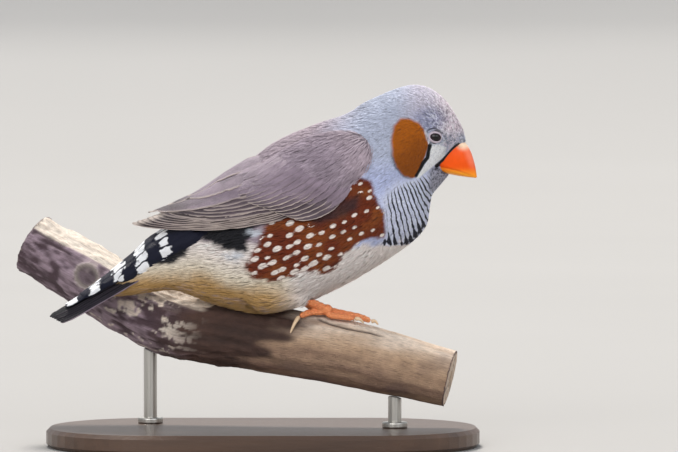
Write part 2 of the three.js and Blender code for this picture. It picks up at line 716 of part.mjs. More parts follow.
// A place seen from the side as a place on the arch.
function onArch([x, z]) {
  const { foot, rise, radius } = archAt(x);
  const level = THREE.MathUtils.clamp((z - foot) / rise, -1, 0.99);
  return [x, radius * Math.acos(Math.sign(level) * Math.abs(level) ** (ROUNDNESS / 2))];
}

function shoulderPad(place) {
  const { at, radii, slant, height, depth, edge, rounding, turns } = SHOULDER_PAD;
  const centre = onArch(at);
  const shell = [[1, -depth], [1, edge], ...rounding.map(([share, level]) => [share, level * height])];
  const rings = shell.map(([share, level]) => Array.from({ length: turns }, (_, j) => {
    const angle = (2 * Math.PI * j) / turns;
    const a = radii[0] * share * Math.cos(angle);
    const b = radii[1] * share * Math.sin(angle);
    const x = centre[0] + a * Math.cos(slant) - b * Math.sin(slant);
    const round = centre[1] + a * Math.sin(slant) + b * Math.cos(slant);
    return place(x, round, level);
  }));
  return loft(rings);
}

const bodyZone = join([torsoGrown, neckGrown, body(TAIL_ROOT, TAIL_STUMP, GAP)]);
for (const [key, side] of [["r", -1], ["l", 1]]) {
  const place = onWing(side);
  const feathers = WING_ROWS.flatMap((spec) => row(spec, place));
  const wing = join([shoulderPad(place), ...feathers]);
  node("wing_" + key, largest(wing.subtract(bodyZone)), "brown");
}

node("torso", largest(torso), "grey");

// The stand

const { length, width, height, corner, bevel } = BASE;
const outline = new THREE.Shape();
const [halfX, halfY] = [length / 2 - bevel, width / 2 - bevel];
outline.moveTo(halfX - corner, -halfY);
outline.absarc(halfX - corner, corner - halfY, corner, -Math.PI / 2, 0);
outline.absarc(halfX - corner, halfY - corner, corner, 0, Math.PI / 2);
outline.absarc(corner - halfX, halfY - corner, corner, Math.PI / 2, Math.PI);
outline.absarc(corner - halfX, corner - halfY, corner, Math.PI, 1.5 * Math.PI);
const slab = new THREE.ExtrudeGeometry(outline, {
  depth: height - 2 * bevel, bevelThickness: bevel, bevelSize: bevel, bevelSegments: 1, curveSegments: 6,
});
slab.translate(0, 0, bevel);
node("stand_base", solid(slab), "stand", 0.5);

for (const [key, x] of Object.entries(RODS)) {
  const foot = perchFrame(perchAt(x)).centre;
  const rod = new THREE.CylinderGeometry(ROD_RADIUS, ROD_RADIUS, ROD_REACH, ROD_SIDES);
  rod.rotateX(Math.PI / 2);
  rod.translate(foot.x, foot.y, height + GAP + ROD_REACH / 2);
  const cut = solid(rod).subtract(perchGrown).decompose();
  const lowest = cut.sort((a, b) => a.boundingBox().min[2] - b.boundingBox().min[2])[0];
  node("stand_rod_" + key, lowest, "rod", 0.35, 0.9);
}

export default group;
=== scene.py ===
# Looks of the perched zebra finch: skin, feathers, bill, eyes, feet, branch and stand.
# Sizes are in millimetres, as in the part's source, and become metres where a mesh is made.
# The bird faces +X, its mid plane is Y = 0 and its right side is towards -Y.
import math

import bmesh
import bpy
import numpy as np
from mathutils import Matrix, Vector
from mathutils.bvhtree import BVHTree


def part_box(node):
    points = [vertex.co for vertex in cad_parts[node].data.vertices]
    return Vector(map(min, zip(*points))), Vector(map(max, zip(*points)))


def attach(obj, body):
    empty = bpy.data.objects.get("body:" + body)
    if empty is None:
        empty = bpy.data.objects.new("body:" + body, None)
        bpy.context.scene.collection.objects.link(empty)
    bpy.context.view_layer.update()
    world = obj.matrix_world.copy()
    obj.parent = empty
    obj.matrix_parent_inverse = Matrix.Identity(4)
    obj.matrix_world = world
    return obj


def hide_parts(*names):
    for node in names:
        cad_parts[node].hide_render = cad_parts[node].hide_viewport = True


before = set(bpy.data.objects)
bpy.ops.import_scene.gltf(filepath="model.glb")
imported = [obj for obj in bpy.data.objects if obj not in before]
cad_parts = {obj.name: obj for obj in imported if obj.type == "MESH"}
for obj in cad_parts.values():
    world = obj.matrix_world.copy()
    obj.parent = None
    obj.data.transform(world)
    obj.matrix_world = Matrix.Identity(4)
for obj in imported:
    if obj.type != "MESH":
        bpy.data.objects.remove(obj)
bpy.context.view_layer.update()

MM = 0.001
random = np.random.default_rng(11)

# The camera
VIEW_WIDTH = 159.5  # what the photo's width spans at the bird
VIEW_CENTRE = (17.9, 0.0, 51.8)
VIEW_DISTANCE = 1000.0
VIEW_RISE = math.radians(2.0)
SENSOR = 36.0

# The body, as stations from the bill's base to the undertail, the same as in the part's source
# back x, back z, belly x, belly z, half width
STATIONS = np.array([
    (47.9, 71.5, 43.6, 63.9, 3.7),
    (46.5, 76.0, 42.0, 61.9, 5.1),
    (41.8, 82.6, 40.6, 60.2, 7.6),
    (35.1, 85.1, 39.4, 58.6, 9.3),
    (24.9, 81.5, 39.1, 55.8, 10.2),
    (19.3, 78.2, 37.9, 50.8, 11.8),
    (12.5, 76.0, 31.6, 45.2, 13.4),
    (2.5, 71.6, 18.0, 37.0, 14.4),
    (-6.5, 64.4, 2.0, 30.8, 13.6),
    (-14.5, 57.8, -10.0, 32.8, 9.8),
    (-21.4, 52.4, -20.0, 36.4, 6.4),
    (-25.4, 49.8, -27.0, 36.0, 4.8),
    (-31.5, 44.6, -33.0, 35.2, 3.4),
    (-37.0, 37.4, -38.2, 35.4, 1.4),
])
ROUNDNESS = 2.2
HEAD_TURN = math.radians(9)
HEAD_PIVOT = (28.0, 0.0)
HEAD_END = (3.0, 6.0)  # stations over which the head's turn fades out
# How far the skin lies under the coat at each station
COAT_DEPTH = [0.2, 0.25, 0.35, 0.4, 0.45, 0.55, 0.7, 0.8, 0.85, 0.8, 0.6, 0.5, 0.4, 0.3]
SKIN_VOXEL = 0.5

EYE = {"at": (41.2, 6.0, 72.8), "radius": 2.0, "opening": (1.46, 1.06)}
EYE_FACING = math.radians(20)
EYE_SLANT = math.radians(-12)
LID_MOUND = {"out": 0.5, "radii": (3.2, 1.3, 2.8)}
THIGHS = {
    "r": ((1.0, -7.0, 36.6, 5.0), (9.2, -5.6, 35.0, 2.2)),
    "l": ((1.0, 7.2, 36.8, 5.0), (8.6, 6.4, 35.0, 2.2)),
}

# The bill, root to tip, seen from the side, and its half width
BILL = {
    "culmen": ((45.9, 73.8), (48.6, 70.2), (49.9, 66.7), (50.5, 63.5)),
    "mouth": ((41.4, 66.2), (45.6, 65.2), (48.4, 64.2), (50.4, 63.4)),
    "gonys": ((42.4, 64.4), (45.4, 63.8), (48.2, 63.4), (50.3, 63.2)),
    "half": (4.4, 3.3, 1.9, 0.32),
    "lower_share": 0.9,
    "swell": 0.9,
}
NOSTRIL = {"at": (47.0, 70.6), "radius": 0.4, "depth": 0.3}
# Where the feathers of the face end at the bill, from the forehead by the corner of the mouth to the chin
BILL_EDGE = [(48.2, 71.6), (46.9, 70.8), (45.6, 69.6), (44.5, 68.4), (43.4, 67.1), (42.6, 66.1),
             (43.1, 65.1), (44.2, 63.9)]
FACE_SLOPE = 0.9  # how steeply the face rises from the bill's edge

# The arch that the folded wings lie on: x, foot, half width, ridge
ARCH = np.array([
    (-32.0, 50.6, 2.8, 52.9),
    (-16.0, 50.4, 8.8, 58.6),
    (-2.0, 51.8, 13.6, 67.2),
    (12.0, 54.4, 14.0, 74.6),
    (28.0, 62.0, 11.0, 80.0),
])
RIDGE_CLEARANCE = 0.12
SHOULDER = {"at": (10.5, 66.2), "radii": (15.5, 8.4), "slant": 0.14, "height": 2.7, "sunk": 0.45,
            "depth": 2.6, "rim": 0.12}
# Down to where the small coverts grow on it, [x, z]
SHOULDER_LOW = [(-10.0, 61.0), (0.0, 60.0), (8.0, 58.4), (14.0, 58.6), (20.0, 59.2), (27.0, 60.0)]
SHOULDER_FEATHER = {"length": (2.4, 4.2), "width": (0.2, 0.34), "lift": (0.3, 0.55), "variety": 0.34,
                    "area": 3.2 * 0.27 * 0.7}

# Rows of wing feathers. Of each row's first and last feather: root, bend and tip seen from the side, [x, z],
# width and lift. Of all in a row: their number, the share of the width that is pale fringe, how dark the
# vane is, how far they clear the shoulder, and how deep their roots are sunk
WING_ROWS = {
    "primaries": dict(
        count=8, width=(3.6, 4.6), lift=(0.3, 1.0), fringe=0.07, dark=1.0, clear=0, sunk=0,
        root=((16.0, 59.8), (11.0, 62.5)),
        bend=((2.0, 52.9), (-1.0, 56.2)),
        tip=((-30.6, 52.4), (-22.0, 55.0)),
    ),
    "secondaries": dict(
        count=6, width=(4.2, 5.2), lift=(1.0, 1.5), fringe=0.06, dark=0.8, clear=0, sunk=0,
        root=((13.0, 60.6), (8.0, 65.0)),
        bend=((1.0, 56.0), (-2.0, 60.6)),
        tip=((-24.0, 54.8), (-17.0, 57.6)),
    ),
    "tertials": dict(
        count=3, width=(6.2, 7.2), lift=(1.6, 2.0), fringe=0.05, dark=0.2, clear=0, sunk=2.0,
        root=((6.0, 65.5), (2.5, 68.4)),
        bend=((-6.0, 59.4), (-5.0, 65.0)),
        tip=((-26.6, 54.6), (-17.2, 58.4)),
    ),
    "greater_coverts": dict(
        count=13, width=(2.6, 3.8), lift=(1.2, 2.0), fringe=0.1, dark=0.75, clear=0.2, sunk=0,
        root=((20.0, 61.4), (7.0, 66.5)),
        bend=((15.5, 55.6), (1.0, 62.6)),
        tip=((7.0, 54.6), (-9.0, 59.8)),
    ),
    "median_coverts": dict(
        count=12, width=(2.4, 3.4), lift=(1.5, 2.2), fringe=0.05, dark=0.15, clear=0.3, sunk=0,
        root=((21.0, 62.4), (6.0, 68.0)),
        bend=((17.5, 58.2), (2.0, 65.2)),
        tip=((13.0, 57.0), (-5.0, 62.4)),
    ),
}
TERTIALS, GREATER_COVERTS, MEDIAN_COVERTS = 2, 3, 4  # their places among the rows
VANE_THICKNESS = 0.16

# The tail
TAIL = {"root": (-20.7, 47.6), "slope": math.radians(29.4), "length": 34.0, "droop": 0.55, "pairs": 6,
        "inner": 0.8, "spread": 0.62, "width": 3.5, "shortening": 0.35, "tier": 0.28}
# The long barred coverts lie round the tail's root and sides: back, top, bottom, half width
RUMP = np.array([
    (-6.0, 4.7, -7.0, 8.4),
    (0.0, 4.3, -5.6, 6.6),
    (5.0, 4.1, -5.0, 5.3),
    (10.0, 2.9, -4.6, 4.3),
    (18.0, 1.7, -3.3, 3.7),
    (27.0, 0.7, -2.7, 3.4),
    (36.0, 0.2, -2.5, 3.0),
])
# Each row of them: how far back it reaches and the angles from the top at which its feathers lie
TAIL_COVERTS = [
    (29.5, (12, 44)), (25.5, (10, 40, 68)), (21.0, (12, 42, 72)), (16.8, (10, 38, 66, 92)),
    (12.6, (12, 40, 68, 96)), (8.6, (10, 36, 62, 88)), (4.8, (12, 38, 64, 88)),
]
COVERT = {"length": 14.0, "width": 3.3, "lift": -0.55, "tier": 0.17, "thickness": 0.14}
TAIL_BARS = {"period": 5.6, "last": 27.2, "dark": 0.55}

# The coat: at these places, seen from the side, the way that feathers lie, and their length and width
COAT = np.array([
    # x, z, lie x, lie z, length, width
    (46.5, 75.5, -0.35, 0.95, 0.8, 0.26),  # forehead
    (44.5, 70.5, -0.85, 0.25, 0.7, 0.2),  # lore
    (42.5, 66.5, -0.8, -0.5, 0.7, 0.2),  # gape
    (42.0, 80.5, -0.8, 0.6, 1.1, 0.32),  # front of the crown
    (36.0, 84.0, -1.0, 0.05, 1.5, 0.36),  # crown
    (37.5, 77.5, -0.9, 0.1, 1.1, 0.28),  # over the eye
    (38.0, 71.0, -0.6, -0.8, 0.9, 0.22),  # behind the eye
    (33.5, 71.0, -0.75, -0.6, 1.3, 0.24),  # cheek
    (40.5, 61.5, -0.75, -0.65, 0.9, 0.28),  # throat
    (25.0, 79.5, -0.9, -0.42, 2.1, 0.36),  # nape
    (26.0, 68.0, -0.8, -0.6, 2.0, 0.3),  # side of the neck
    (36.0, 54.5, -0.7, -0.7, 1.4, 0.42),  # upper breast
    (30.0, 49.0, -0.85, -0.52, 1.8, 0.48),  # lower breast
    (14.0, 74.0, -0.9, -0.43, 2.8, 0.38),  # mantle
    (0.0, 68.0, -0.86, -0.5, 3.0, 0.42),  # back
    (-14.0, 56.5, -0.85, -0.52, 3.0, 0.5),  # rump
    (24.0, 57.0, -0.85, -0.52, 2.2, 0.5),  # front of the flank
    (10.0, 46.5, -0.95, -0.3, 2.8, 0.52),  # flank
    (-2.0, 45.0, -0.97, -0.22, 3.0, 0.5),  # rear of the flank
    (20.0, 41.0, -0.93, -0.36, 3.2, 0.36),  # belly
    (0.0, 33.5, -1.0, 0.02, 3.8, 0.36),  # vent
    (-14.0, 42.0, -0.98, -0.1, 3.6, 0.38),  # side of the vent
    (-27.0, 40.0, -0.93, -0.36, 3.4, 0.4),  # undertail
    (-36.5, 36.5, -0.9, -0.42, 2.4, 0.36),  # undertail tip
])
COAT_WILD = 0.07  # how far feathers stray from the lie
COAT_COVER = 4.4  # how many feathers lie over each point
FEATHER_FILL = 0.7  # how much of its length times its width a feather covers
FEATHER_SUNK = 0.12
FEATHER_STOUT = 0.24  # its thickness, in shares of half its width
BAKE_PATCH = 0.003  # what a feather takes of the UV map for baking
# Lengths of the body, by station, that are each a piece of the coat
COAT_PIECES = {
    "face_feathers": (0.0, 1.6),
    "cheek_feathers": (1.6, 2.4),
    "crown_feathers": (2.4, 3.7),
    "nape_feathers": (3.7, 4.9),
    "breast_feathers": (4.9, 6.4),
    "mantle_feathers": (6.4, 7.7),
    "flank_feathers": (7.7, 9.2),
    "vent_feathers": (9.2, 13.2),
}
BELLY_FROM = 7.5  # pieces that start behind this station are passed the slot name belly

# Markings on the side of the bird, [x, z] as seen from its right
CHEEK = [(32.2, 77.2), (30.6, 75.5), (30.0, 72.0), (30.4, 68.5), (31.3, 65.9), (33.0, 63.9), (34.8, 63.2),
         (35.8, 63.5), (36.5, 65.2), (37.9, 68.4), (38.7, 71.0), (38.1, 73.4), (37.6, 74.8), (36.3, 76.3),
         (34.1, 77.2)]
TEAR_LINE = [(39.1, 70.9), (38.7, 69.2), (38.5, 68.0), (37.4, 66.8), (36.8, 65.4), (35.9, 63.8)]
BILL_LINE = [(45.9, 71.1), (45.3, 70.7), (44.4, 69.9), (43.5, 68.8), (42.6, 67.7), (41.7, 66.8),
             (40.7, 66.1)]
BROW_LINE = [(38.3, 74.0), (38.9, 74.6), (40.0, 74.9), (41.2, 74.4), (42.0, 73.7)]
LID_LINE = [(38.0, 74.2), (38.3, 72.6), (39.0, 71.4), (40.4, 70.9), (41.8, 71.3), (42.8, 72.1)]
LORAL_STRIPE = [(39.3, 70.8), (41.2, 71.0), (42.9, 70.4), (42.6, 68.5), (40.5, 66.6), (38.1, 64.7),
                (36.5, 63.4), (36.0, 63.3), (36.9, 65.2), (38.1, 66.6), (38.8, 68.2), (39.1, 69.6)]
FLANK = [(-3.9, 42.5), (-3.1, 44.7), (-0.8, 48.6), (1.5, 53.5), (12.5, 57.0), (18.0, 60.0), (21.0, 64.0),
         (25.2, 62.6), (26.0, 59.8), (28.3, 55.2), (28.8, 50.7), (28.5, 49.2), (25.2, 49.4),
         (22.4, 48.4), (19.1, 45.6), (17.1, 42.0), (14.2, 40.9), (12.2, 42.0), (8.9, 41.2), (3.8, 39.4),
         (0.5, 39.9), (-2.1, 40.5)]
# painted shade on the flank under the wing's front edge
WING_SHADE = [(11.5, 52.9), (17.0, 53.8), (22.0, 56.4), (22.6, 59.4), (17.0, 57.0), (12.0, 55.6)]
RUMP_BLACK = [(-24.0, 53.5), (-1.2, 54.0), (-3.1, 48.5), (-3.8, 46.1), (-9.2, 46.8), (-12.5, 48.9),
              (-16.2, 48.9), (-18.1, 45.6), (-20.5, 43.3), (-26.0, 42.5)]
RUMP_PALE = [(-6.4, 45.0), (-1.6, 50.6)]
VENT_LINE = [(-30.0, 37.6), (-15.1, 38.6), (-8.2, 36.2), (-1.6, 35.1)]
BELLY_TOP = [(-40, 42), (-22, 44), (-15, 48.5), (-4, 48), (0, 47), (18, 47), (30, 47.6), (36, 48.2),
             (40, 51.5)]
BREAST = [(41.5, 66.5), (36.4, 63.6), (31.0, 62.0), (28.2, 58.5), (28.6, 52.0), (28.4, 47.0), (33.5, 44.5),
          (42.0, 50.0), (44.0, 62.0)]
BREAST_BAND = [(27.9, 49.2), (30.5, 47.7), (32.4, 47.3), (35.1, 48.7), (37.6, 52.0)]
BAR_FOCUS = (25.7, 82.4)  # the breast bars fan out from here
BAR_ANGLE = 0.0375  # between two bars, in radians
NO_SPOT = -9.0  # the distance into a spot where there is none
NO_MARKS = (0.0, 0.0, NO_SPOT)
SPOTS = {"row": 2.2, "step": 2.85, "slant": math.radians(24), "size": (0.98, 0.62), "jitter": 0.55}

COLOURS = {
    # head and neck
    "crown": "c9c3d6", "slate": "6a76a2", "forehead": "dccbd6", "nape": "bcc4dc", "neck": "bcc6ee",
    "cheek": "b05c00", "cheek_low": "7c3e00", "black": "08080e", "white": "f6f8fd", "lid": "c9bcc8",
    # body
    "throat": "a19fae", "breast": "dde3ff", "bar": "181a2a", "belly": "fdf2ee", "cream": "f0e2c6",
    "vent": "bf924f", "flank": "6c280a", "flank_light": "8e4b16", "spot": "fff2ea", "mantle": "b3a2ae",
    # wings and tail; the dark wing colour also paints shade on the flank under the wing
    "back": "9c8d9b", "wing": "8b7b8a", "wing_edge": "dccbc0", "wing_dark": "33262b", "rump": "0f1018",
    "rump_pale": "d3dce8",
    # bill; the pink paints a highlight along the culmen
    "horn": "ee5400", "culmen_highlight": "ff9070", "horn_light": "ffa42a", "horn_cream": "ffe2c2",
    # branch; the pale wood colour also paints light on the bare wood's top, and the low wood colour paints
    # shade on its underside as well as the knot
    "bark": "4c3a42", "bark_light": "a08c98", "bark_brown": "4a342c", "peel": "f2e6d8", "wood": "c2a284",
    "wood_pale_and_highlight": "f0dfce", "wood_knot_and_shade": "876a5a", "scar": "2a1d18",
}


# Numbers

def tint(name):
    """A named colour as linear red, green and blue."""
    value = np.array([int(COLOURS[name][i:i + 2], 16) for i in (0, 2, 4)]) / 255
    return np.where(value <= 0.04045, value / 12.92, ((value + 0.055) / 1.055) ** 2.4)


def smoothstep(low, high, value):
    share = np.clip((value - low) / (high - low), 0, 1)
    return share * share * (3 - 2 * share)


def smooth(values, s):
    """Values given at whole stations, read smoothly between them."""
    values = np.asarray(values, float)
    s = np.asarray(s, float)
    last = len(values) - 1
    i = np.clip(np.floor(s).astype(int), 0, last - 1)
    f = s - i
    p, q, r, t = (values[np.clip(i + k, 0, last)] for k in (-1, 0, 1, 2))
    return q + 0.5 * f * (r - p + f * (2 * p - 5 * q + 4 * r - t + f * (3 * (q - r) + t - p)))


def mottle(points, size, seed=0):
    """Soft random values from -1 to 1 over space, with lumps of that size."""
    scaled = np.asarray(points, float) / size + 57.3 * (seed + 1)
    cell = np.floor(scaled).astype(np.int64)
    part = scaled - cell
    part = part * part * (3 - 2 * part)
    total = 0
    for corner in np.ndindex(*(2,) * cell.shape[1]):
        key = np.zeros(len(cell), np.int64)
        weight = np.ones(len(cell))
        for axis, step in enumerate(corner):
            key = key * 73856093 + (cell[:, axis] + step) * (19349663 + 83492791 * axis)
            weight = weight * (part[:, axis] if step else 1 - part[:, axis])
        key = (key ^ (key >> 13)) * 1274126177
        total = total + weight * ((key >> 8) % 65536 / 32767.5 - 1)
    return total


def segment_distance(points, a, b):
    """Distance to a straight line from a to b, and the share of it where it is nearest."""
    a, b = np.array(a, float), np.array(b, float)
    along = np.clip((points - a) @ (b - a) / ((b - a) @ (b - a)), 0, 1)
    return np.linalg.norm(points - a - along[:, None] * (b - a), axis=1), along


def line_distance(points, line):
    """Distance to a line of points, and the share of the line where it is nearest."""
    best = np.full(len(points), 1e9)
    share = np.zeros(len(points))
    for i, (a, b) in enumerate(zip(line, line[1:])):
        distance, along = segment_distance(points, a, b)
        near = distance < best
        best[near] = distance[near]
        share[near] = (i + along[near]) / (len(line) - 1)
    return best, share


def inside(points, outline):
    """Distance to a closed outline, above 0 inside it."""
    distance, _ = line_distance(points, [*outline, outline[0]])
    crossed = np.zeros(len(points), bool)
    for (ax, az), (bx, bz) in zip(outline, [*outline[1:], outline[0]]):
        if az != bz:
            spans = (points[:, 1] < az) != (points[:, 1] < bz)
            crossed ^= spans & (points[:, 0] < ax + (points[:, 1] - az) / (bz - az) * (bx - ax))
    return np.where(crossed, distance, -distance)


def turned(points, share):
    """Points of the head's own frame, turned with the head by a share of its turn."""
    points = np.array(points, float).reshape(-1, 3)
    angle = -HEAD_TURN * np.asarray(share, float)
    x, y = points[:, 0] - HEAD_PIVOT[0], points[:, 1] - HEAD_PIVOT[1]
    return np.column_stack([
        HEAD_PIVOT[0] + x * np.cos(angle) - y * np.sin(angle),
        HEAD_PIVOT[1] + x * np.sin(angle) + y * np.cos(angle),
        points[:, 2],
    ])


def head_share(s):
    """How much of the head's turn there is at the stations s."""
    return 1 - smoothstep(*HEAD_END, s)


class Paint:
    """Colours of many points, laid over one another."""

    def __init__(self, count, name):
        self.colour = np.repeat(tint(name)[None], count, 0)

    def layer(self, name, mask):
        self.colour = self.colour + (tint(name) - self.colour) * np.clip(mask, 0, 1)[:, None]


TABLE = np.linspace(0, len(STATIONS) - 1, 131)
TABLE_BACK = np.column_stack([smooth(STATIONS[:, 0], TABLE), smooth(STATIONS[:, 1], TABLE)])
TABLE_BELLY = np.column_stack([smooth(STATIONS[:, 2], TABLE), smooth(STATIONS[:, 3], TABLE)])


def station_of(points):
    """Where along the body each point lies, in stations."""
    side = points[:, [0, 2]]
    spine = TABLE_BELLY - TABLE_BACK
    length = np.linalg.norm(spine, axis=1)
    offset = side[:, None, :] - TABLE_BACK[None]
    across = np.abs(offset[..., 0] * spine[:, 1] - offset[..., 1] * spine[:, 0]) / length
    along = (offset * spine).sum(2) / length ** 2
    across += 20 * np.maximum(0, np.abs(along - 0.5) - 0.75)
    return TABLE[across.argmin(1)]


# Meshes

def linked(name, data):
    """A new object in the scene."""
    made = bpy.data.objects.new(name, data)
    bpy.context.scene.collection.objects.link(made)
    return made


def mesh_object(name, mesh, slot, material, *nodes):
    """A piece of the model, which may stand for CAD nodes."""
    made = linked(name, mesh)
    made.data.materials.append(material)
    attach(made, "root")
    if nodes:
        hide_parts(*nodes)
    return made


def from_bmesh(name, bm, smooth_faces=True):
    """A mesh in metres from a bmesh in millimetres."""
    bmesh.ops.scale(bm, vec=(MM, MM, MM), verts=bm.verts)
    mesh = bpy.data.meshes.new(name)
    bm.to_mesh(mesh)
    bm.free()
    mesh.polygons.foreach_set("use_smooth", [smooth_faces] * len(mesh.polygons))
    return mesh


def read_back(held, key, size=3, kind=np.float32):
    """Values of all items of a mesh's collection, one row each."""
    flat = np.empty(size * len(held), kind)
    held.foreach_get(key, flat)
    return flat.reshape(-1, size)


def points_of(mesh):
    """Places of a mesh's vertices, in millimetres."""
    return read_back(mesh.vertices, "co").astype(float) / MM


def normals_of(mesh):
    return read_back(mesh.vertex_normals, "vector").astype(float)


def move_points(mesh, points):
    mesh.vertices.foreach_set("co", (points * MM).astype(np.float32).ravel())
    mesh.update()


def set_colours(mesh, name, colours):
    layer = mesh.color_attributes.new(name, "FLOAT_COLOR", "POINT")
    opaque = np.column_stack([colours, np.ones(len(colours))])
    layer.data.foreach_set("color", opaque.astype(np.float32).ravel())


def set_plumage(mesh, colours, marks=NO_MARKS):
    """Gives a mesh its colours, and where its bars and spots are: phase, weight and distance into a spot."""
    set_colours(mesh, "plumage", colours)
    layer = mesh.attributes.new("marks", "FLOAT_VECTOR", "POINT")
    each = np.broadcast_to(np.asarray(marks, np.float32), (len(colours), 3))
    layer.data.foreach_set("vector", each.ravel())


def set_uv(mesh, name, point_uv):
    """A UV map that gives each vertex one place."""
    corner = read_back(mesh.loops, "vertex_index", 1, np.int32).ravel()
    mesh.uv_layers.new(name=name).data.foreach_set("uv", point_uv[corner].astype(np.float32).ravel())


def place_verts(verts, points):
    for vert, point in zip(verts, points):
        vert.co = point


def sheet(bm, columns, rows, place):
    """A grid: place gives its points for ways across and along from 0 to 1."""
    made = bmesh.ops.create_grid(bm, x_segments=columns, y_segments=rows, size=0.5)["verts"]
    across, along = (np.array([vert.co[k] + 0.5 for vert in made]) for k in (0, 1))
    place_verts(made, place(across, along))
    return made


def tube(bm, around, steps, place):
    """A closed tube, of a sheet whose sides meet."""
    made = sheet(bm, around, steps, place)
    bmesh.ops.remove_doubles(bm, verts=made, dist=1e-4)
    ends = [edge for edge in bm.edges if edge.is_boundary]
    bmesh.ops.holes_fill(bm, edges=ends, sides=0)


def mesh_copy(bm, name, mesh):
    """Puts a merged copy of a mesh into a bmesh, in millimetres."""
    held = bmesh.new()
    held.from_mesh(mesh)
    bmesh.ops.scale(held, vec=(1 / MM,) * 3, verts=held.verts)
    bmesh.ops.remove_doubles(held, verts=held.verts, dist=1e-3)
    part = bpy.data.meshes.new(name)
    held.to_mesh(part)
    held.free()
    bm.from_mesh(part)
    bpy.data.meshes.remove(part)


def node_copies(*names):
    """A bmesh of merged copies of CAD nodes, in millimetres."""
    bm = bmesh.new()
    for name in names:
        mesh_copy(bm, name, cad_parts[name].data)
    return bm


def grow(bm, distance):
    """Moves all points out along their normals."""
    bm.normal_update()
    place_verts(bm.verts, [vert.co + vert.normal * distance for vert in bm.verts])


def fused(name, bm, voxel, relax):
    """One closed skin over all that the bmesh holds."""
    bmesh.ops.recalc_face_normals(bm, faces=bm.faces)
    source = linked(name, from_bmesh(name, bm))
    remesh = source.modifiers.new("one_skin", "REMESH")
    remesh.mode = "VOXEL"
    remesh.voxel_size = voxel * MM
    relaxed = source.modifiers.new("relaxed", "SMOOTH")
    relaxed.factor = 0.5
    relaxed.iterations = relax
    depsgraph = bpy.context.evaluated_depsgraph_get()
    mesh = bpy.data.meshes.new_from_object(source.evaluated_get(depsgraph))
    mesh.name = name
    mesh.polygons.foreach_set("use_smooth", [True] * len(mesh.polygons))
    bpy.data.objects.remove(source)
    return mesh


# Materials

class Shader:
    """A material's or a group's nodes, put down one at a time."""

    def __init__(self, tree):
        self.tree = tree

    def feed(self, made, inputs):
        for key, value in inputs.items():
            if isinstance(value, bpy.types.NodeSocket):
                self.tree.links.new(value, made.inputs[key])
            else:
                made.inputs[key].default_value = value
        return made.outputs

    def put(self, kind, inputs=None, out=0, **settings):
        made = self.tree.nodes.new(kind)
        for key, value in settings.items():
            setattr(made, key, value)
        return self.feed(made, inputs or {})[out]

    def use(self, tree, **inputs):
        """Puts down a node group and gives its outputs."""
        made = self.tree.nodes.new("ShaderNodeGroup")
        made.node_tree = tree
        return self.feed(made, inputs)

    def math(self, operation, *values):
        return self.put("ShaderNodeMath", dict(enumerate(values)), operation=operation)

    def step(self, low, high, value):
        return self.put("ShaderNodeMapRange", {"Value": value, "From Min": low, "From Max": high},
                        interpolation_type="SMOOTHSTEP")

    def mix(self, share, first, second, blend="MIX"):
        return self.put("ShaderNodeMix", {0: share, 6: first, 7: second}, out=2, data_type="RGBA",
                        blend_type=blend)

    def noise(self, vector, scale, detail=2.0, rough=0.5):
        return self.put("ShaderNodeTexNoise",
                        {"Vector": vector, "Scale": scale, "Detail": detail, "Roughness": rough})

    def grain(self, vector, stretch, scale=1.0, detail=2.0, rough=0.5):
        """Noise that is drawn out along one way."""
        stretched = self.put("ShaderNodeMapping", {"Vector": vector, "Scale": stretch})
        return self.noise(stretched, scale, detail, rough)

    def place(self):
        """The object's own coordinates, in metres."""
        return self.put("ShaderNodeTexCoord", out=3)

    def attribute(self, name, out=0):
        return self.put("ShaderNodeAttribute", out=out, attribute_name=name)


def group(name, inputs, outputs):
    """Makes a shader node group of a function that gives its outputs.

    inputs are name to (kind, default) and outputs name to kind.
    """
    kinds = {"value": "NodeSocketFloat", "colour": "NodeSocketColor", "vector": "NodeSocketVector"}
    tree = bpy.data.node_groups.new(name, "ShaderNodeTree")
    for key, (kind, default) in inputs.items():
        socket = tree.interface.new_socket(key, in_out="INPUT", socket_type=kinds[kind])
        if default is not None:
            socket.default_value = default
    for key, kind in outputs.items():
        tree.interface.new_socket(key, in_out="OUTPUT", socket_type=kinds[kind])

    def made(build):
        shader = Shader(tree)
        given = tree.nodes.new("NodeGroupInput").outputs
        shader.feed(tree.nodes.new("NodeGroupOutput"), build(shader, given))
        return tree
    return made


def finish(name, **fixed):
    """Makes a material of a function that gives what varies over the surface.

    fixed is what is the same all over, and Height is the bump and how high it stands in millimetres.
    """
    material = bpy.data.materials.new(name)
    material.use_nodes = True
    shader = Shader(material.node_tree)
    surface = material.node_tree.nodes["Principled BSDF"]
    for key, value in fixed.items():
        surface.inputs[key.replace("_", " ").title().replace("Ior", "IOR")].default_value = value

    def made(build):
        varying = build(shader, shader.place())
        if "Height" in varying:
            height, distance = varying.pop("Height")
            varying["Normal"] = shader.put("ShaderNodeBump", {"Height": height, "Distance": distance * MM,
                                                              "Strength": 1.0})
        shader.feed(surface, varying)
        return material
    return made


@group("fine_variation",
       {"Colour": ("colour", None), "Vector": ("vector", None), "Scale": ("value", 400.0),
        "Amount": ("value", 0.5)},
       {"Colour": "colour"})
def fine_variation(shader, given):
    """A colour made lighter and darker by fine noise."""
    value = shader.noise(given["Vector"], given["Scale"], 3.0, 0.6)
    gain = shader.math("MULTIPLY_ADD", shader.math("SUBTRACT", value, 0.5), given["Amount"], 1.0)
    varied = shader.put("ShaderNodeVectorMath", {0: given["Colour"], "Scale": gain}, operation="SCALE")
    return {"Colour": varied}


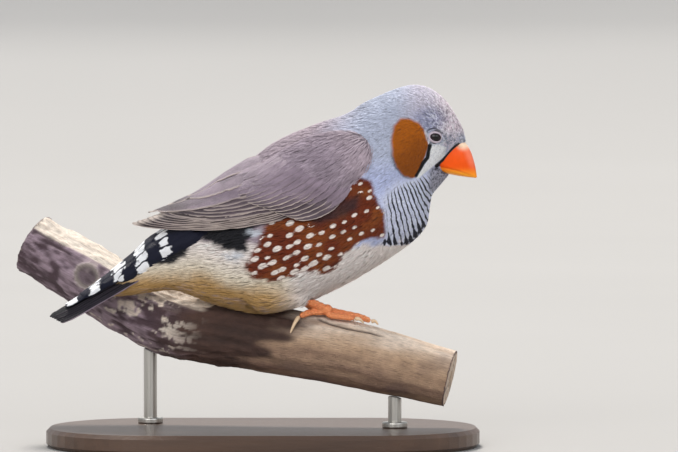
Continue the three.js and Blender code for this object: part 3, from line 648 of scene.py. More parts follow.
@group("bars_and_spots", {"Waver": ("value", 0.5)}, {"Colour": "colour"})
def bars_and_spots(shader, given):
    """Dark bars and pale spots laid over a feather's own colour."""
    marks = shader.put("ShaderNodeSeparateXYZ", {0: shader.attribute("marks", 1)})
    phase, weight, spot = (marks.node.outputs[i] for i in range(3))
    waver = shader.math("SUBTRACT", shader.noise(shader.place(), 700.0), 0.5)
    phase = shader.math("ADD", phase, shader.math("MULTIPLY", waver, given["Waver"]))
    wave = shader.math("SINE", shader.math("MULTIPLY", phase, math.tau))
    level = shader.math("MULTIPLY_ADD", weight, 2.8, -1.4)
    bar = shader.step(-0.3, 0.3, shader.math("ADD", wave, level))
    barred = shader.mix(bar, shader.attribute("plumage"), (*tint("bar"), 1))
    return {"Colour": shader.mix(shader.step(-0.1, 0.14, spot), barred, (*tint("spot"), 1))}


@group("barbs",
       {"Vane": ("vector", None), "Slant": ("value", 2.2), "Barbs": ("value", 22.0)},
       {"Height": "value", "Clump": "value"})
def barbs(shader, given):
    """The ridges of a feather's barbs, which leave the shaft at a slant, and how they clump."""
    vane = shader.put("ShaderNodeSeparateXYZ", {0: given["Vane"]})
    across, along = vane.node.outputs[0], vane.node.outputs[1]
    run = shader.math("MULTIPLY_ADD", shader.math("ABSOLUTE", across), given["Slant"],
                      shader.math("MULTIPLY", along, -1.0))
    loose = shader.math("MULTIPLY", shader.noise(given["Vane"], 1.6), 1.2)
    wave = shader.math("SINE", shader.math("MULTIPLY", shader.math("ADD", run, loose), given["Barbs"]))
    clump = shader.grain(given["Vane"], (5.0, 0.8, 1.0), 1.0, 3.0, 0.7)
    return {"Height": shader.math("MULTIPLY_ADD", wave, 0.25, clump), "Clump": clump}


def feather_finish(name, barbs_each, bump, contrast, **fixed):
    """A finish of feathers: barbs to each radian of their wave, height of the bump, and contrast."""
    @finish(name, **fixed)
    def material(shader, place):
        vane = shader.put("ShaderNodeUVMap", uv_map="vane")
        ridges = shader.use(barbs, Vane=vane, Barbs=barbs_each)
        marked = shader.use(bars_and_spots)["Colour"]
        varied = shader.use(fine_variation, Colour=marked, Vector=place, Scale=900.0, Amount=contrast)
        streak = shader.math("MULTIPLY", shader.step(0.2, 0.8, ridges["Clump"]), 0.3)
        return {"Base Color": shader.mix(streak, varied["Colour"], (1.0, 1.0, 1.0, 1.0), "SOFT_LIGHT"),
                "Height": (ridges["Height"], bump)}
    return material


small_feathers = feather_finish("small_feathers", 40.0, 0.05, 0.25, roughness=0.7, sheen_weight=0.12,
                                specular_ior_level=0.25)
long_feathers = feather_finish("long_feathers", 22.0, 0.08, 0.3, roughness=0.6, sheen_weight=0.2,
                               specular_ior_level=0.3)
tail_vane_horn = feather_finish("tail_vane_horn", 22.0, 0.08, 0.3, roughness=0.55, specular_ior_level=0.2)


@finish("downy_skin", roughness=0.9, sheen_weight=0.2)
def downy_skin(shader, place):
    marked = shader.use(bars_and_spots)["Colour"]
    varied = shader.use(fine_variation, Colour=marked, Vector=place, Scale=1500.0, Amount=0.6)["Colour"]
    # painted shade: the skin is darkened where it shows between the feathers
    return {"Base Color": shader.mix(0.35, varied, (0.02, 0.02, 0.02, 1.0)),
            "Height": (shader.noise(place, 2500.0, 4.0), 0.25)}


@finish("bill_horn", roughness=0.4, coat_weight=0.03, specular_ior_level=0.2, subsurface_weight=0.06,
        subsurface_scale=0.0006)
def bill_horn(shader, place):
    horn = shader.attribute("horn")
    varied = shader.use(fine_variation, Colour=horn, Vector=place, Scale=700.0, Amount=0.2)
    lines = shader.grain(place, (3000.0, 3000.0, 350.0), 1.0, 3.0)
    return {"Base Color": varied["Colour"], "Height": (lines, 0.05)}


@finish("eye_gloss", roughness=0.06, specular_ior_level=0.35)
def eye_gloss(shader, place):
    brown = shader.mix(shader.noise(place, 2200.0, 4.0), (0.004, 0.001, 0.003, 1), (0.016, 0.005, 0.01, 1))
    return {"Base Color": shader.mix(shader.attribute("pupil", 2), brown, (0.001, 0.001, 0.001, 1))}


@finish("lid_skin", roughness=0.55)
def lid_skin(shader, place):
    colour = shader.mix(shader.noise(place, 1800.0, 3.0), (*tint("lid") * 0.7, 1), (*tint("lid"), 1))
    return {"Base Color": colour, "Height": (shader.noise(place, 5000.0, 3.0), 0.06)}


@finish("leg_skin", roughness=0.48, subsurface_weight=0.1, subsurface_scale=0.0008)
def leg_skin(shader, place):
    base = shader.mix(shader.noise(place, 260.0, 3.0), (0.8, 0.21, 0.06, 1), (0.88, 0.36, 0.15, 1))
    cells = shader.put("ShaderNodeTexVoronoi", {"Vector": place, "Scale": 2300.0},
                       feature="DISTANCE_TO_EDGE")
    # painted shade: the creases between the scales are darkened
    crease = shader.step(0.0, 0.12, cells)
    return {"Base Color": shader.mix(crease, shader.mix(0.5, base, (0.3, 0.06, 0.02, 1)), base),
            "Height": (crease, 0.05)}


@finish("claw_horn", roughness=0.3, coat_weight=0.2)
def claw_horn(shader, place):
    colour = shader.mix(shader.noise(place, 900.0, 3.0), (0.6, 0.4, 0.24, 1), (0.78, 0.6, 0.4, 1))
    return {"Base Color": colour, "Height": (shader.grain(place, (1, 1, 5), 2500.0), 0.03)}


@finish("branch_bark", roughness=0.8)
def branch_bark(shader, place):
    along_grain = shader.put("ShaderNodeUVMap", uv_map="grain")
    fibres = shader.grain(along_grain, (0.35, 5.0, 1.0), 1.0, 5.0, 0.65)
    varied = shader.use(fine_variation, Colour=shader.attribute("bark"), Vector=place, Scale=500.0,
                        Amount=0.7)["Colour"]
    dark = shader.mix(0.5, varied, (0.05, 0.03, 0.03, 1))
    rough = shader.noise(place, 1300.0, 6.0, 0.7)
    return {"Base Color": shader.mix(shader.step(0.3, 0.55, fibres), dark, varied),
            "Height": (shader.math("ADD", fibres, rough), 0.4)}


@finish("stand_wood", coat_weight=0.3, coat_roughness=0.2)
def stand_wood(shader, place):
    rings = shader.grain(place, (18.0, 260.0, 260.0), 1.0, 5.0, 0.6)
    pores = shader.grain(place, (300.0, 4200.0, 4200.0), 1.0, 3.0)
    return {"Base Color": shader.mix(rings, (0.028, 0.014, 0.009, 1), (0.12, 0.06, 0.033, 1)),
            "Height": (pores, 0.04), "Roughness": shader.math("MULTIPLY_ADD", pores, 0.2, 0.3)}


@finish("stand_metal", metallic=1.0)
def stand_metal(shader, place):
    lines = shader.grain(place, (2500.0, 2500.0, 60.0), 1.0, 3.0)
    return {"Base Color": shader.mix(lines, (0.36, 0.35, 0.33, 1), (0.62, 0.61, 0.58, 1)),
            "Height": (lines, 0.02), "Roughness": shader.math("MULTIPLY_ADD", lines, 0.25, 0.2)}


@finish("floor_paper", roughness=0.9)
def floor_paper(shader, place):
    grey = shader.mix(shader.noise(place, 3.0), (0.33, 0.325, 0.32, 1), (0.36, 0.355, 0.35, 1))
    return {"Base Color": grey}


# Markings

def markings(points, s):
    """Colours of the plumage, and its bars and spots, at points near the stations s."""
    share = head_share(s)
    own = turned(points, -share)
    own[:, 1] = -np.abs(own[:, 1])
    seen = turned(own, share)
    side = seen[:, [0, 2]]
    x, z = side.T
    wander = mottle(seen, 1.1, 1)
    fine = mottle(seen, 0.3, 2)
    broad = mottle(seen, 4.0, 3)

    paint = Paint(len(points), "nape")
    layer = paint.layer
    layer("crown", smoothstep(30, 38, x) * smoothstep(72, 78, z))
    layer("forehead", smoothstep(38, 44, x) * smoothstep(72, 75, z))
    layer("slate", 0.6 * smoothstep(4.2, 1.2, np.hypot((x - 39.0) / 1.4, z - 77.0)))
    specked = smoothstep(34, 42, x) * smoothstep(69.5, 72, z)
    layer("bar", 0.6 * specked * smoothstep(85, 78, z) * smoothstep(0.1, 0.45, fine))
    layer("white", 0.5 * specked * smoothstep(-0.1, -0.45, fine))
    layer("neck", smoothstep(70, 62, z) * smoothstep(14, 22, x))
    layer("mantle", smoothstep(24, 11, x + 0.4 * (76 - z)))
    layer("back", smoothstep(6, -6, x))

    # breast, throat and the fan of bars
    breast = inside(side, BREAST) + 0.5 * wander
    layer("breast", smoothstep(-2.2, 1.4, breast))
    throat = smoothstep(38.0, 40.0, x) * smoothstep(66.5, 65.0, z) * smoothstep(58.5, 61.0, z)
    layer("throat", 0.8 * throat)
    layer("bar", 0.85 * throat * smoothstep(-0.1, 0.4, fine))
    angle = np.arctan2(z - BAR_FOCUS[1], x - BAR_FOCUS[0])
    band, _ = line_distance(side, BREAST_BAND)
    phase = angle / BAR_ANGLE + 0.1 * wander + 0.2 * mottle(seen, 2.8, 7)
    barred = 0.3 + 0.06 * smoothstep(54, 60, z) + 0.1 * mottle(seen, 1.6, 8)
    weight = barred * smoothstep(-0.8, 2.2, breast) * smoothstep(23.5, 27.0, x + 0.15 * (62 - z))
    weight = weight * (1 - 0.8 * throat)
    weight = np.maximum(weight, (0.86 - band / 3.0 + 0.3 * wander) * smoothstep(-1.2, 0.4, breast))

    # belly, vent and rump
    belly_top = np.interp(x, *np.transpose(BELLY_TOP))
    low = smoothstep(1.2, -0.6, z - belly_top + 0.8 * wander)
    below_band = low * smoothstep(0.4, 1.4, band + 2.0 * (z < 47.5))
    layer("belly", below_band)
    weight = weight * (1 - below_band)
    over_vent = z - np.interp(x, *np.transpose(VENT_LINE))
    layer("cream", 0.8 * smoothstep(9, 3, x) * below_band * smoothstep(10, 3, over_vent))
    rear = smoothstep(12, 0, x)
    layer("vent", 0.95 * rear * smoothstep(5.0, -0.2, over_vent + 0.8 * broad + 0.4 * wander) * below_band)
    # painted shade: grey-brown streaks over the rear underside, below the vent line
    streaked = mottle(np.column_stack([x * 0.35, z * 1.6, seen[:, 1] * 1.6]), 1.0, 15)
    shade_streaks = 0.45 * smoothstep(14, 4, x) * below_band * smoothstep(0.2, 0.7, streaked)
    layer("mantle", shade_streaks * smoothstep(2, -2, over_vent))
    layer("rump", smoothstep(-0.5, 0.5, inside(side, RUMP_BLACK) + 0.6 * wander))
    for pale, reach in zip(RUMP_PALE, (1.9, 1.2)):
        near = np.hypot((x - pale[0]) / 1.7, z - pale[1])
        layer("rump_pale", 0.8 * smoothstep(reach, 0.3 * reach, near + 0.7 * wander))

    # flank patch with its spots
    flank = inside(side, FLANK) + (0.3 + 0.5 * smoothstep(48, 44, z)) * wander
    layer("flank", smoothstep(-0.35, 0.35, flank))
    layer("flank_light", 0.7 * smoothstep(-0.35, 0.35, flank) * smoothstep(-0.2, 0.8, mottle(seen, 2.6, 5)))
    # painted shade: the flank darkened under the wing's front edge
    shade_under_wing = smoothstep(-1.3, 0.8, inside(side, WING_SHADE) + 0.3 * wander)
    layer("wing_dark", 0.8 * shade_under_wing)
    spots = np.where((flank > -0.2) & (shade_under_wing < 0.3), spot_distance(side), NO_SPOT)
    weight = np.where(flank > -0.3, 0, weight)

    # face
    cheek = inside(side, CHEEK) + 0.12 * wander
    face = side[:, 0] > 28
    under_cheek = smoothstep(36, 33, x) * smoothstep(72, 67, z)
    layer("black", 0.7 * face * smoothstep(0.45, 0.1, np.abs(cheek + 0.2)) * under_cheek)
    blurred = smoothstep(33.5, 31.0, x) * smoothstep(67, 70, z)
    soft = 0.2 + 0.25 * np.maximum(blurred, smoothstep(74.5, 76.5, z))
    patch = smoothstep(-1, 1, cheek / soft)
    layer("cheek", patch)
    layer("cheek_low", patch * 0.75 * smoothstep(74.5, 66, z + 0.6 * (34 - x) + 1.2 * mottle(seen, 1.4, 9)))
    layer("forehead", 0.7 * smoothstep(3.2, 1.0, np.hypot(x - 44.2, z - 71.4)) * smoothstep(0.3, -0.2, fine))
    over_eye, _ = line_distance(side, BROW_LINE)
    layer("black", 0.7 * smoothstep(0.34, 0.1, over_eye))
    under_eye, _ = line_distance(side, LID_LINE)
    layer("white", 0.45 * smoothstep(0.3, 0.1, under_eye))
    layer("white", smoothstep(-0.25, 0.15, inside(side, LORAL_STRIPE)))
    tear, reach = line_distance(side, TEAR_LINE)
    layer("black", smoothstep(0.16, -0.02, tear - (0.42 - 0.14 * reach) + 0.1 * wander))
    by_bill, reach = line_distance(side, BILL_LINE)
    layer("black", smoothstep(0.16, -0.02, by_bill - (0.34 + 0.08 * reach) + 0.06 * wander))
    plain = (cheek > -0.3) | (tear < 0.5) | (by_bill < 0.5) | (inside(side, LORAL_STRIPE) > -0.2)
    weight = np.where(plain, 0, weight)
    return paint.colour * (1 + 0.06 * broad[:, None]), np.column_stack([phase, weight, spots])


def spot_distance(side):
    """Distance into the nearest flank spot, above 0 inside one."""
    slant = np.array([[math.cos(SPOTS["slant"]), math.sin(SPOTS["slant"])],
                      [-math.sin(SPOTS["slant"]), math.cos(SPOTS["slant"])]])
    local = (side - (0.0, 40.0)) @ slant.T
    spread = np.array([SPOTS["step"], SPOTS["row"]])
    long_way, short_way = SPOTS["size"]
    best = np.full(len(side), NO_SPOT)
    for step_row in (-1, 0, 1):
        row = np.round(local[:, 1] / spread[1]) + step_row
        for step_place in (-1, 0, 1):
            shift = 0.5 * (row % 2)
            place = np.round(local[:, 0] / spread[0] - shift) + step_place
            seed = np.sin(row * 127.1 + place * 311.7) * 43758.5453
            first = seed - np.floor(seed)
            second = seed * 7.31 - np.floor(seed * 7.31)
            centre_x = (place + shift) * spread[0] + SPOTS["jitter"] * (2 * first - 1)
            centre_z = row * spread[1] + SPOTS["jitter"] * (2 * second - 1)
            size = np.where(first * second < 0.03, 0.0, 0.7 + 0.45 * second)
            size = size * (1 - 0.3 * smoothstep(12, 22, side[:, 0]))
            out = np.hypot((local[:, 0] - centre_x) / long_way, (local[:, 1] - centre_z) / short_way)
            best = np.maximum(best, (size - out) * short_way)
    return best


# The skin

def body_points(around, along):
    """Points of the body's skin for ways round and along from 0 to 1."""
    s = along * (len(STATIONS) - 1)
    back = np.column_stack([smooth(STATIONS[:, 0], s), smooth(STATIONS[:, 1], s)])
    belly = np.column_stack([smooth(STATIONS[:, 2], s), smooth(STATIONS[:, 3], s)])
    depth = smooth(COAT_DEPTH, s)
    middle = (back + belly) / 2
    up = back - middle
    reach = np.linalg.norm(up, axis=1)
    up = up * ((reach - depth) / reach)[:, None]
    half = smooth(STATIONS[:, 4], s) - depth
    angle = math.tau * around
    level = np.sign(np.cos(angle)) * np.abs(np.cos(angle)) ** (2 / ROUNDNESS)
    side = np.sign(np.sin(angle)) * np.abs(np.sin(angle)) ** (2 / ROUNDNESS)
    at = middle + up * level[:, None]
    return turned(np.column_stack([at[:, 0], side * half, at[:, 1]]), head_share(s))


def eye_matrix(side):
    """Carries a shape made round the origin and facing out along +Y to the eye of one side."""
    centre = turned([(EYE["at"][0], side * EYE["at"][1], EYE["at"][2])], 1)[0]
    facing = Matrix.Rotation(-side * EYE_FACING - HEAD_TURN, 4, "Z")
    mirror = Matrix.Diagonal((1, side, 1, 1))
    return Matrix.Translation(centre) @ facing @ mirror @ Matrix.Rotation(-EYE_SLANT, 4, "Y")


def fit_face(points, bill_tree):
    """Draws the face in so that the bill stands out of it along its edge."""
    own = turned(points, -1)
    side = own[:, [0, 2]]
    front = inside(side, [*BILL_EDGE, (54.0, 60.0), (54.0, 74.0)])
    for i in np.flatnonzero((front > -3.5) & (own[:, 0] > 38)):
        hand = 1 if own[i, 1] > 0 else -1
        start = Vector(turned([(own[i, 0], 20.0 * hand, own[i, 2])], 1)[0])
        way = Vector(turned([(28.0, -hand, 0.0)], 1)[0] - turned([(28.0, 0.0, 0.0)], 1)[0])
        hit = bill_tree.ray_cast(start, way)[3]
        if hit is not None:
            bill_half = 20.0 - hit
            allowed = bill_half - 0.35 if front[i] > 0 else bill_half - 0.35 - FACE_SLOPE * front[i]
            own[i, 1] = hand * min(abs(own[i, 1]), max(allowed, 0.0))
    return turned(own, 1)


def make_skin(bill_tree):
    """One skin over head, body and thighs, which carries the same markings as the coat."""
    bm = bmesh.new()
    tube(bm, 64, 104, body_points)
    for side in (-1, 1):
        mound = eye_matrix(side) @ Matrix.Translation((0, LID_MOUND["out"] - 0.3, 0))
        bmesh.ops.create_uvsphere(bm, u_segments=32, v_segments=20, radius=1,
                                  matrix=mound @ Matrix.Diagonal((*LID_MOUND["radii"], 1)))
    for root, end in THIGHS.values():
        for share in np.linspace(0, 1, 7):
            x, y, z, radius = (a + (b - a) * share for a, b in zip(root, end))
            bmesh.ops.create_uvsphere(bm, u_segments=24, v_segments=16, radius=radius - 0.6,
                                      matrix=Matrix.Translation((x, y, z)))
    mesh = fused("body_skin", bm, SKIN_VOXEL, 4)
    points = points_of(mesh)
    head = (points[:, 0] > 38) & (points[:, 2] > 60)
    points[head] = fit_face(points[head], bill_tree)
    move_points(mesh, points)
    points = points_of(mesh)
    set_plumage(mesh, *markings(points, station_of(points)))
    return mesh_object("body_skin", mesh, "coat", downy_skin, "head", "neck", "torso", "undertail",
                       "thigh_r", "thigh_l")


# Feathers of the coat

def feather_template():
    """A small feather: points as (across, along, up) and its faces."""
    bm = bmesh.new()
    bmesh.ops.create_cone(bm, cap_ends=True, segments=3, radius1=1, radius2=0, depth=1,
                          matrix=Matrix.Translation((0, 0, 0.5)))
    bmesh.ops.remove_doubles(bm, verts=bm.verts, dist=1e-5)
    for height in (0.36, 0.72):
        bmesh.ops.bisect_plane(bm, geom=[*bm.verts, *bm.edges, *bm.faces], plane_co=(0, 0, height),
                               plane_no=(0, 0, 1), dist=1e-5)
    widths = {0.0: 0.5, 0.36: 1.0, 0.72: 0.82, 1.0: 0.0}
    points = []
    for vert in bm.verts:
        along = vert.co.z
        level = min(widths, key=lambda value: abs(value - along))
        radial = math.hypot(vert.co.x, vert.co.y) or 1.0
        points.append((vert.co.x / radial * widths[level], along, vert.co.y / radial * widths[level]))
    bm.verts.index_update()
    bmesh.ops.recalc_face_normals(bm, faces=bm.faces)
    faces = [[v.index for v in face.verts] for face in bm.faces]
    bm.free()
    points = np.array(points)
    points[:, 2] -= points[:, 2].min()
    return points, faces


TEMPLATE, TEMPLATE_FACES = feather_template()


def coat_at(own):
    """Lie, length and width of the coat at points of the bird's own frame, from its table."""
    side = own[:, [0, 2]]
    distance = ((side[:, None] - COAT[None, :, :2]) ** 2).sum(2) + 0.5
    weight = distance ** -2.2
    weight /= weight.sum(1, keepdims=True)
    values = weight @ COAT[:, 2:]
    lie = np.column_stack([values[:, 0], np.zeros(len(own)), values[:, 1]])
    return lie, values[:, 2], values[:, 3]


def scatter(mesh, count_per_area):
    """Random places on a mesh: points, normals."""
    mesh.calc_loop_triangles()
    corner = read_back(mesh.loop_triangles, "vertices", 3, np.int32)
    points, normals = points_of(mesh), normals_of(mesh)
    a, b, c = (points[corner[:, k]] for k in range(3))
    area = np.linalg.norm(np.cross(b - a, c - a), axis=1) / 2
    wanted = area * count_per_area((a + b + c) / 3)
    count = np.floor(wanted + random.random(len(wanted))).astype(int)
    chosen = np.repeat(np.arange(len(corner)), count)
    u, v = random.random((2, len(chosen)))
    flip = u + v > 1
    u[flip], v[flip] = 1 - u[flip], 1 - v[flip]
    share = np.column_stack([1 - u - v, u, v])
    place = (points[corner[chosen]] * share[..., None]).sum(1)
    normal = (normals[corner[chosen]] * share[..., None]).sum(1)
    return place, normal / np.linalg.norm(normal, axis=1, keepdims=True)


def follow(tree, points):
    """The nearest places on a surface and its normals there."""
    found = [tree.find_nearest(Vector(point)) for point in points]
    return np.array([f[0] for f in found]), np.array([f[1] for f in found])


def grow_feathers(name, tree, roots, normals, lie, length, width, lift, seats, variety, colour_of, slot):
    """One mesh of small feathers that follow the surface in the tree. seats are their UV places."""
    count = len(roots)
    lie = lie - normals * (lie * normals).sum(1, keepdims=True)
    lie /= np.linalg.norm(lie, axis=1, keepdims=True)
    side = np.cross(normals, lie)
    middle, middle_normal = follow(tree, roots + lie * (length * 0.5)[:, None])
    end, end_normal = follow(tree, middle + lie * (length * 0.5)[:, None])
    start = roots - normals * FEATHER_SUNK
    middle = middle + middle_normal * (lift * 0.55)[:, None]
    end = end + end_normal * lift[:, None]
    across, along, up = TEMPLATE.T
    bend = 2 * middle - (start + end) / 2
    t = along[None, :, None]
    spine = start[:, None] * (1 - t) ** 2 + 2 * bend[:, None] * t * (1 - t) + end[:, None] * t ** 2
    width_now = (width / 2)[:, None, None]
    rise = normals[:, None] * (1 - t) + end_normal[:, None] * t
    points = spine + side[:, None] * across[None, :, None] * width_now
    points = points + rise * up[None, :, None] * FEATHER_STOUT * width_now
    points = points.reshape(-1, 3)

    size = len(TEMPLATE)
    faces_each = len(TEMPLATE_FACES)
    corners = np.array([i for face in TEMPLATE_FACES for i in face])
    sizes = np.array([len(face) for face in TEMPLATE_FACES])
    loops = (np.arange(count)[:, None] * size + corners[None]).ravel()
    totals = np.tile(sizes, count)
    mesh = bpy.data.meshes.new(name)
    mesh.vertices.add(len(points))
    mesh.vertices.foreach_set("co", (points * MM).astype(np.float32).ravel())
    mesh.loops.add(len(loops))
    mesh.loops.foreach_set("vertex_index", loops.astype(np.int32))
    mesh.polygons.add(faces_each * count)
    mesh.polygons.foreach_set("loop_start", (np.cumsum(totals) - totals).astype(np.int32))
    mesh.polygons.foreach_set("loop_total", totals.astype(np.int32))
    mesh.polygons.foreach_set("use_smooth", [True] * (faces_each * count))
    mesh.update(calc_edges=True)

    owner = np.repeat(np.arange(count), size)
    colour, marks = colour_of(points, owner)
    own_gain = 1 + variety * (random.random(count) - 0.5)
    # painted shade: each feather darker towards its root, where the feathers over it shade it
    root_shade_gain = 0.82 + 0.22 * np.tile(along, count)
    set_plumage(mesh, np.clip(colour * (own_gain[owner] * root_shade_gain)[:, None], 0, 1), marks)
    vane = np.dstack([across[None] * width[:, None] / 2, along[None] * length[:, None]])
    set_uv(mesh, "vane", vane.reshape(-1, 2))
    shade_normal = normals_of(mesh) * 0.45 + rise.reshape(-1, 3) * 0.55
    mesh.normals_split_custom_set_from_vertices(shade_normal / np.linalg.norm(shade_normal, axis=1)[:, None])
    patch = BAKE_PATCH * np.column_stack([across / 2, along - 0.5])
    set_uv(mesh, "OFBake", (seats[:, None] + patch[None]).reshape(-1, 2))
    mesh_object(name, mesh, slot, small_feathers)
    print(name, count)


def covered(trees, roots, normals, reach):
    """Whether something lies close over each place."""
    hits = np.zeros(len(roots), bool)
    for i, (root, normal) in enumerate(zip(roots, normals)):
        start, way = Vector(root + 0.05 * normal), Vector(normal)
        hits[i] = any(tree.ray_cast(start, way, reach)[0] is not None for tree in trees)
    return hits


def node_tree(*names):
    bm = node_copies(*names)
    tree = BVHTree.FromBMesh(bm)
    bm.free()
    return tree


def mesh_tree(mesh):
    points = points_of(mesh)
    faces = [tuple(face.vertices) for face in mesh.polygons]
    return BVHTree.FromPolygons([Vector(point) for point in points], faces)


def make_coat(skin, over):
    """Feathers over the whole skin, but none under the pieces named in over."""
    tree = mesh_tree(skin.data)

    def per_area(points):
        s = station_of(points)
        _, length, width = coat_at(turned(points, -head_share(s)))
        return COAT_COVER / (length * width * FEATHER_FILL)

    roots, normals = scatter(skin.data, per_area)
    s = station_of(roots)
    share = head_share(s)
    own = turned(roots, -share)
    keep = ~covered([mesh_tree(piece.data) for piece in over], roots, normals, 3.2)
    keep &= ~covered([node_tree("perch")], roots, normals, 0.8)
    for side in (-1, 1):
        local = np.array([eye_matrix(side).inverted() @ Vector(root) for root in roots])
        keep &= (local[:, 1] < 0) | (np.hypot(local[:, 0] / 1.95, local[:, 2] / 1.55) > 1)
    roots, normals, s, share, own = (value[keep] for value in (roots, normals, s, share, own))

    lie, length, width = coat_at(own)
    count = len(roots)
    lie = turned(own + lie, share) - turned(own, share)
    lie = lie + random.normal(0, COAT_WILD, (count, 3))
    length = length * random.uniform(0.75, 1.25, count)
    width = width * random.uniform(0.8, 1.2, count)
    lift = smooth(COAT_DEPTH, s) * random.uniform(0.45, 0.95, count)
    variety = 0.26 + 0.5 * smoothstep(32, 42, own[:, 0]) * smoothstep(70.5, 72.5, own[:, 2])
    middle = np.interp(s, TABLE, (TABLE_BACK[:, 1] + TABLE_BELLY[:, 1]) / 2)
    angle = np.arctan2(own[:, 1], own[:, 2] - middle)
    for name, (first, last) in COAT_PIECES.items():
        part = (s >= first) & (s < last)
        seats = np.column_stack([0.01 + 0.98 * (angle[part] / math.tau + 0.5),
                                 0.01 + 0.98 * (s[part] - first) / (last - first)])

        def colour_of(points, owner, stations=s[part]):
            return markings(points, stations[owner])

        grow_feathers(name, tree, roots[part], normals[part], lie[part], length[part], width[part],
                      lift[part], seats, variety[part], colour_of, "belly" if first > BELLY_FROM else "coat")


# The wings

def arch_at(x):
    places = ARCH[:, 0]
    s = np.interp(x, places, np.arange(len(places)))
    below = x < places[0]
    s = np.where(below, 0, s)
    foot, half, ridge = (smooth(ARCH[:, k], s) for k in (1, 2, 3))
    rise = ridge - foot
    return foot, half, rise, (half + rise) / 2


def arch_point(side, x, way_round):
    foot, half, rise, radius = arch_at(x)
    angle = np.maximum(way_round, RIDGE_CLEARANCE) / radius
    level = np.sign(np.cos(angle)) * np.abs(np.cos(angle)) ** (2 / ROUNDNESS)
    return np.column_stack([x, side * half * np.abs(np.sin(angle)) ** (2 / ROUNDNESS), foot + rise * level])


def on_wing(side, x, way_round, height):
    step = 0.3
    forward = arch_point(side, x + step, way_round) - arch_point(side, x - step, way_round)
    mid = np.maximum(way_round, 1)
    down = arch_point(side, x, mid + step) - arch_point(side, x, mid - step)
    out = np.cross(forward, down)
    out /= np.linalg.norm(out, axis=1, keepdims=True)
    out[out[:, 1] * side < 0] *= -1
    return arch_point(side, x, way_round) + out * np.asarray(height)[:, None]


def on_arch(x, z):
    foot, _, rise, radius = arch_at(x)
    level = np.clip((z - foot) / rise, -1, 0.99)
    return x, radius * np.arccos(np.sign(level) * np.abs(level) ** (ROUNDNESS / 2))


ACROSS = np.array([-1, -0.93, -0.8, -0.5, -0.2, -0.06, 0, 0.06, 0.2, 0.5, 0.8, 0.93, 1])
ALONG = np.concatenate([np.linspace(0, 0.9, 26), np.linspace(0.92, 1, 7)])


def vane_sheet(bm, spec, place, seed):
    """Adds a feather's upper sheet to a bmesh. place puts (a, b, height) in space.

    The layer facts holds the way across and along in millimetres and across from -1 to 1, and the layer
    tags the way along from 0 to 1, the feather's number and its kind.
    """
    columns, lines = len(ACROSS) - 1, len(ALONG) - 1
    made = bmesh.ops.create_grid(bm, x_segments=columns, y_segments=lines, size=0.5)["verts"]
    column = np.array([round((vert.co.x + 0.5) * columns) for vert in made])
    line = np.array([round((vert.co.y + 0.5) * lines) for vert in made])
    u, t = ACROSS[column], ALONG[line]
    root, bend, tip = (np.array(spec[key], float) for key in ("root", "bend", "tip"))

    def on(t):
        t = np.clip(t, 0, 1)[:, None]
        point = root * (1 - t) ** 2 + 2 * bend * t * (1 - t) + tip * t ** 2
        return np.column_stack(spec["onto"](point[:, 0], point[:, 1]))

    centre = on(t)
    way = on(t + 0.02) - on(t - 0.02)
    way /= np.linalg.norm(way, axis=1, keepdims=True)
    share = np.maximum(0, t - spec["tip_from"]) / (1.0 - spec["tip_from"])
    half = spec["width"] / 2 * np.minimum(1, 0.3 + 2 * t) * np.sqrt(np.maximum(1 - share ** 2, 0.0004))
    half = half * (1 - 0.07 * np.abs(u) ** 6 * (1 + mottle(np.column_stack([t * 24, u * 2]), 1.0, seed)))
    lift = spec["lift"] * (1 - 0.5 * t)
    near_root = np.maximum(0, 1 - 2.5 * t)
    if spec["clear"]:
        lift = np.maximum(lift, pad_height(centre[:, 0], centre[:, 1]) + spec["clear"]) - 0.4 * near_root
    lift = lift - 0.5 * np.maximum(0, 1 - 4 * t) - spec["sunk"] * near_root
    shaft = 0.07 * np.exp(-(u / 0.08) ** 2) * (1 - t)
    lift = lift + 0.1 * (1 - u ** 2) + shaft - spec["tilt"] * u * np.minimum(1, 3 * t)
    lift = lift + 0.06 * mottle(np.column_stack([t * 7, u * 1.5]), 1.0, seed + 9)
    points = place(centre[:, 0] - way[:, 1] * half * u, centre[:, 1] + way[:, 0] * half * u, lift)
    length = np.linalg.norm(tip - bend) + np.linalg.norm(bend - root)
    place_verts(made, points)
    facts, tags = (bm.verts.layers.float_vector[key] for key in ("facts", "tags"))
    for vert, across, along, u_here, t_here in zip(made, u * spec["width"] / 2, t * length, u, t):
        vert[facts] = (across, along, u_here)
        vert[tags] = (t_here, spec["index"], spec["kind"])
    faces = {face for vert in made for face in vert.link_faces}
    middle = sum((face.normal_update() or face.normal for face in faces), Vector())
    if middle.dot(Vector(spec["outward"])) < 0:
        bmesh.ops.reverse_faces(bm, faces=list(faces))


def feather_sheets(name, node, specs, place, thickness, colour_of, slot, material):
    """A piece of large feathers, each a thin curved plate, in place of a CAD node."""
    bm = bmesh.new()
    for layer in ("facts", "tags"):
        bm.verts.layers.float_vector.new(layer)
    for seed, spec in enumerate(specs):
        vane_sheet(bm, spec, place, seed)
    mesh = from_bmesh(name, bm)
    facts, tags = (read_back(mesh.attributes[layer].data, "vector") for layer in ("facts", "tags"))
    for layer in ("facts", "tags"):
        mesh.attributes.remove(mesh.attributes[layer])
    set_plumage(mesh, *colour_of(points_of(mesh), facts, tags))
    set_uv(mesh, "vane", facts[:, :2])
    columns = max(1, math.ceil(math.sqrt(len(specs))))
    cell = np.column_stack([tags[:, 1] % columns, tags[:, 1] // columns])
    seat = np.column_stack([0.5 + 0.45 * facts[:, 2], 0.05 + 0.9 * tags[:, 0]])
    set_uv(mesh, "OFBake", (cell + seat) / columns)
    made = mesh_object(name, mesh, slot, material, node)
    wall = made.modifiers.new("thickness", "SOLIDIFY")
    wall.thickness = thickness * MM
    wall.offset = -1
    return made


def between(pair, share):
    first, last = np.array(pair, float)
    return tuple(first + (last - first) * share)


